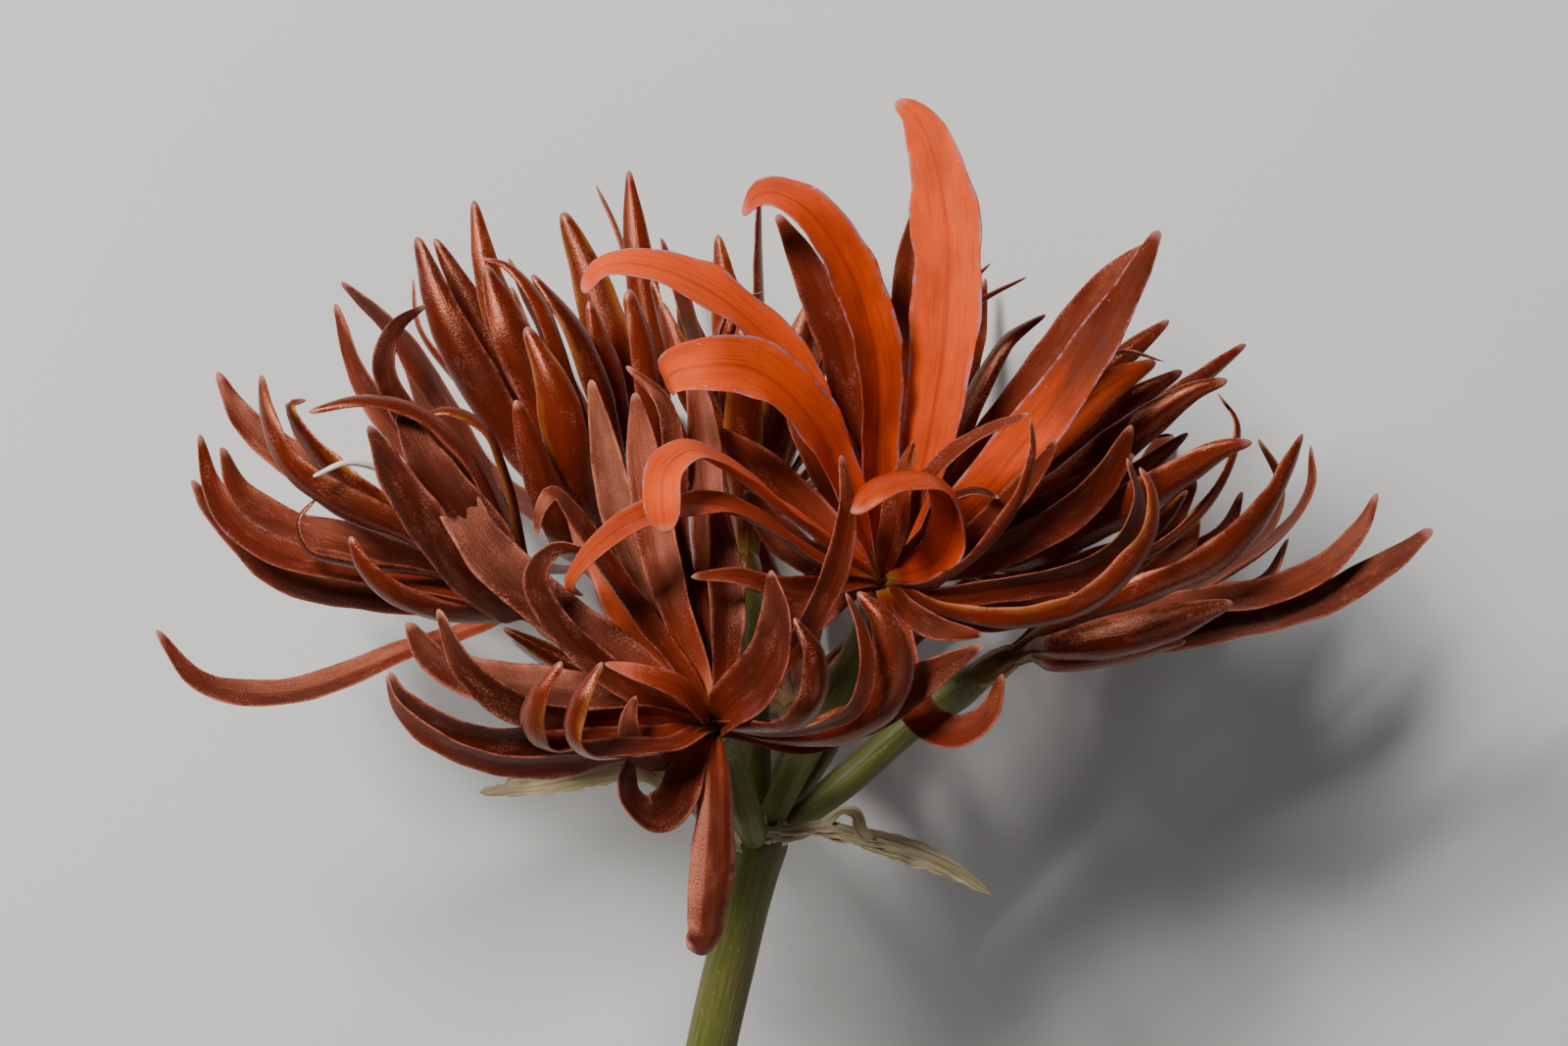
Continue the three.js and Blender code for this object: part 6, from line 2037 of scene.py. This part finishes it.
@dataclass
class FringePiece:
    """The torn papery skin round the swollen top of the stalk.

    Attributes:
        flakes: How many flakes there are.
        spread: Their distance from the stalk's middle.
        short: The least and the greatest height of two flakes in three.
        tall: The same for the third.
    """

    flakes: int = 26
    spread: float = 3.3
    short: tuple[float, float] = (1.0, 2.8)
    tall: tuple[float, float] = (2.8, 4.6)

    def build(self) -> bpy.types.Object:
        """Builds the fringe: short flakes that stand up round the stalk and curl away from it.

        Returns:
            The fringe.
        """
        skin = Skin("papery_fringe")
        rng = np.random.default_rng(91)
        for i in range(self.flakes):
            row = Tepal(*self.flake(i, rng), claw=0.8, wide=0.3, tip=0.05)
            flake = Ribbon(row, pleats=1, pleat_height=0.08, curl=0.3, ragged=0.2, thickness=0.07)
            flake.into(skin, rng, 5.0 * i)
        return skin.finish()

    def flake(self, i: int, rng: np.random.Generator) -> tuple[float, tuple[Point, ...], Point]:
        """Draws a flake.

        Args:
            i: Its number.
            rng: Chance numbers.

        Returns:
            Its width, its line and the way that it faces.
        """
        x, y, z = NODE_CENTRE
        turn = 2 * math.pi * (i + rng.uniform(-0.3, 0.3)) / self.flakes
        out = (math.cos(turn), 0.0, math.sin(turn))
        low = y + 0.3 + rng.uniform(-0.6, 0.6)
        height = rng.uniform(*(self.short if i % 3 else self.tall))
        shoulder, tip = 1.14 + rng.uniform(0, 0.12), 1.16 + rng.uniform(0, 0.4)
        path = tuple(
            (x + out[0] * self.spread * wide, low + height * up, z + out[2] * self.spread * wide)
            for up, wide in ((0.0, 0.98), (0.35, 1.08), (0.75, shoulder), (1.0, tip))
        )
        return rng.uniform(0.6, 2.4), path, out

    def dress(self, made: bpy.types.Object) -> None:
        """Gives the fringe its finish and its place in the frame."""
        dress(made, DRY)


@dataclass
class FilamentPiece:
    """The one loose filament, which stands out of the left bloom."""

    bloom: Bloom
    radius: float = 0.46

    def build(self) -> bpy.types.Object:
        """Builds the filament.

        Returns:
            The filament.
        """
        skin = Skin("loose_filament")
        line = smooth_line(np.vstack([self.bloom.at, seen(FILAMENT_LINE)]), 16)
        shares = (0, 0.3, 0.7, 0.93, 1)
        radii = [self.radius * part for part in (0.8, 0.9, 1.0, 0.75, 0.5)]
        Stalk(line, shares, radii, 14, 60, domed=0.02).into(skin)
        return skin.finish()

    def dress(self, made: bpy.types.Object) -> None:
        """Gives the filament its finish and its place in the frame."""
        dress(made, THREAD, "filament")


@dataclass(frozen=True)
class Lamp:
    """A square soft light: its place and its side in metres, its watts and its colour."""

    name: str
    place: Point
    size: float
    watts: float
    colour: Colour


LAMPS = (
    Lamp("key", (-0.34, 0.50, 0.75), 0.2, 9.6, (1.0, 0.97, 0.93)),
    Lamp("fill", (0.36, -0.34, 0.56), 0.5, 0.8, (0.94, 0.96, 1.0)),
    Lamp("rim", (-0.75, 0.5, 0.6), 0.3, 2.6, (1.0, 0.96, 0.92)),
)


@dataclass
class Studio:
    """The floor, the lights and the camera straight above the flower.

    Attributes:
        lens: The camera's focal length, in millimetres.
        sensor: The width of its sensor, in millimetres.
        near: The nearest that it sees, in metres.
        far: The farthest that it sees, in metres.
        floor_size: The length of the floor's side, in metres.
        head: The point that the lights look at, in metres.
        room_colour: The colour of the light from all around.
        room_strength: How strong that is.
    """

    lens: float = 150.0
    sensor: float = 36.0
    near: float = 0.05
    far: float = 20.0
    floor_size: float = 5.0
    head: Point = (0.0, 0.11, 0.05)
    room_colour: Colour = (0.93, 0.95, 1.0)
    room_strength: float = 0.02

    def set_up(self) -> None:
        """Places the camera, the floor and every light."""
        self.camera()
        self.floor()
        for lamp in LAMPS:
            self.light(lamp)
        self.room()

    def floor(self) -> None:
        """Lays the floor."""
        bm = bmesh.new()
        bmesh.ops.create_grid(bm, x_segments=2, y_segments=2, size=self.floor_size / 2)
        mesh = bpy.data.meshes.new("floor")
        bm.to_mesh(mesh)
        bm.free()
        mesh.materials.append(FloorFinish().material())
        made = bpy.data.objects.new("floor", mesh)
        bpy.context.scene.collection.objects.link(made)

    def light(self, lamp: Lamp) -> None:
        """Hangs a light that points at the head of the flower.

        Args:
            lamp: The light.
        """
        data = bpy.data.lights.new(lamp.name, "AREA")
        data.size = lamp.size
        data.energy = lamp.watts
        data.color = lamp.colour
        made = bpy.data.objects.new(lamp.name, data)
        made.location = lamp.place
        way = mathutils.Vector(np.array(self.head) - np.array(lamp.place))
        made.rotation_euler = way.to_track_quat("-Z", "Y").to_euler()
        bpy.context.scene.collection.objects.link(made)

    def room(self) -> None:
        """Lights the room evenly and softly."""
        world = bpy.data.worlds.new("room")
        world.use_nodes = True
        back = world.node_tree.nodes["Background"]
        back.inputs["Color"].default_value = (*self.room_colour, 1.0)
        back.inputs["Strength"].default_value = self.room_strength
        bpy.context.scene.world = world

    def camera(self) -> None:
        """Sets the camera where the eye is."""
        data = bpy.data.cameras.new("eye")
        data.lens = self.lens
        data.sensor_width = self.sensor
        data.clip_start = self.near
        data.clip_end = self.far
        made = bpy.data.objects.new("eye", data)
        made.location = [(a + b) * MM for a, b in zip(SCAPE_TOP, (*CAMERA_AT, EYE_HEIGHT))]
        bpy.context.scene.collection.objects.link(made)
        bpy.context.scene.camera = made


def main() -> None:
    """Builds every piece around the frame, dresses it, and lights it."""
    logging.basicConfig(level=logging.INFO, format="%(name)s: %(message)s")
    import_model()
    Studio().set_up()

    blooms = [Bloom(flower) for flower in BLOOMS]
    umbel = Umbel(blooms)
    umbel.bend_clear()
    umbel.settle()
    log.info("umbel bent clear")

    pieces: list[Piece] = [ScapePiece()]
    for i, bloom in enumerate(blooms):
        finish = ORANGE if bloom.flower.name == "centre" else COPPER
        pieces.append(BloomPiece(bloom, umbel, i, finish, MOODS[bloom.flower.name]))
        pieces.append(PedicelPiece(bloom, i))
    (left,), (right, loop) = BRACTS["left"], BRACTS["right"]
    left_bloom = next(bloom for bloom in blooms if bloom.flower.name == "left")
    pieces += [
        BractPiece("left", [Ribbon(left, warm=1.0, turn=0.5, ragged=0.3)]),
        BractPiece("right", [Ribbon(right, turn=-1.0), Ribbon(loop, pleats=1, curl=0.2)], fibres=9),
        FringePiece(),
        FilamentPiece(left_bloom),
    ]
    for piece in pieces:
        made = piece.build()
        piece.dress(made)
        log.info("%s: %d faces", made.name, len(made.data.polygons))


if __name__ == "__main__":
    main()
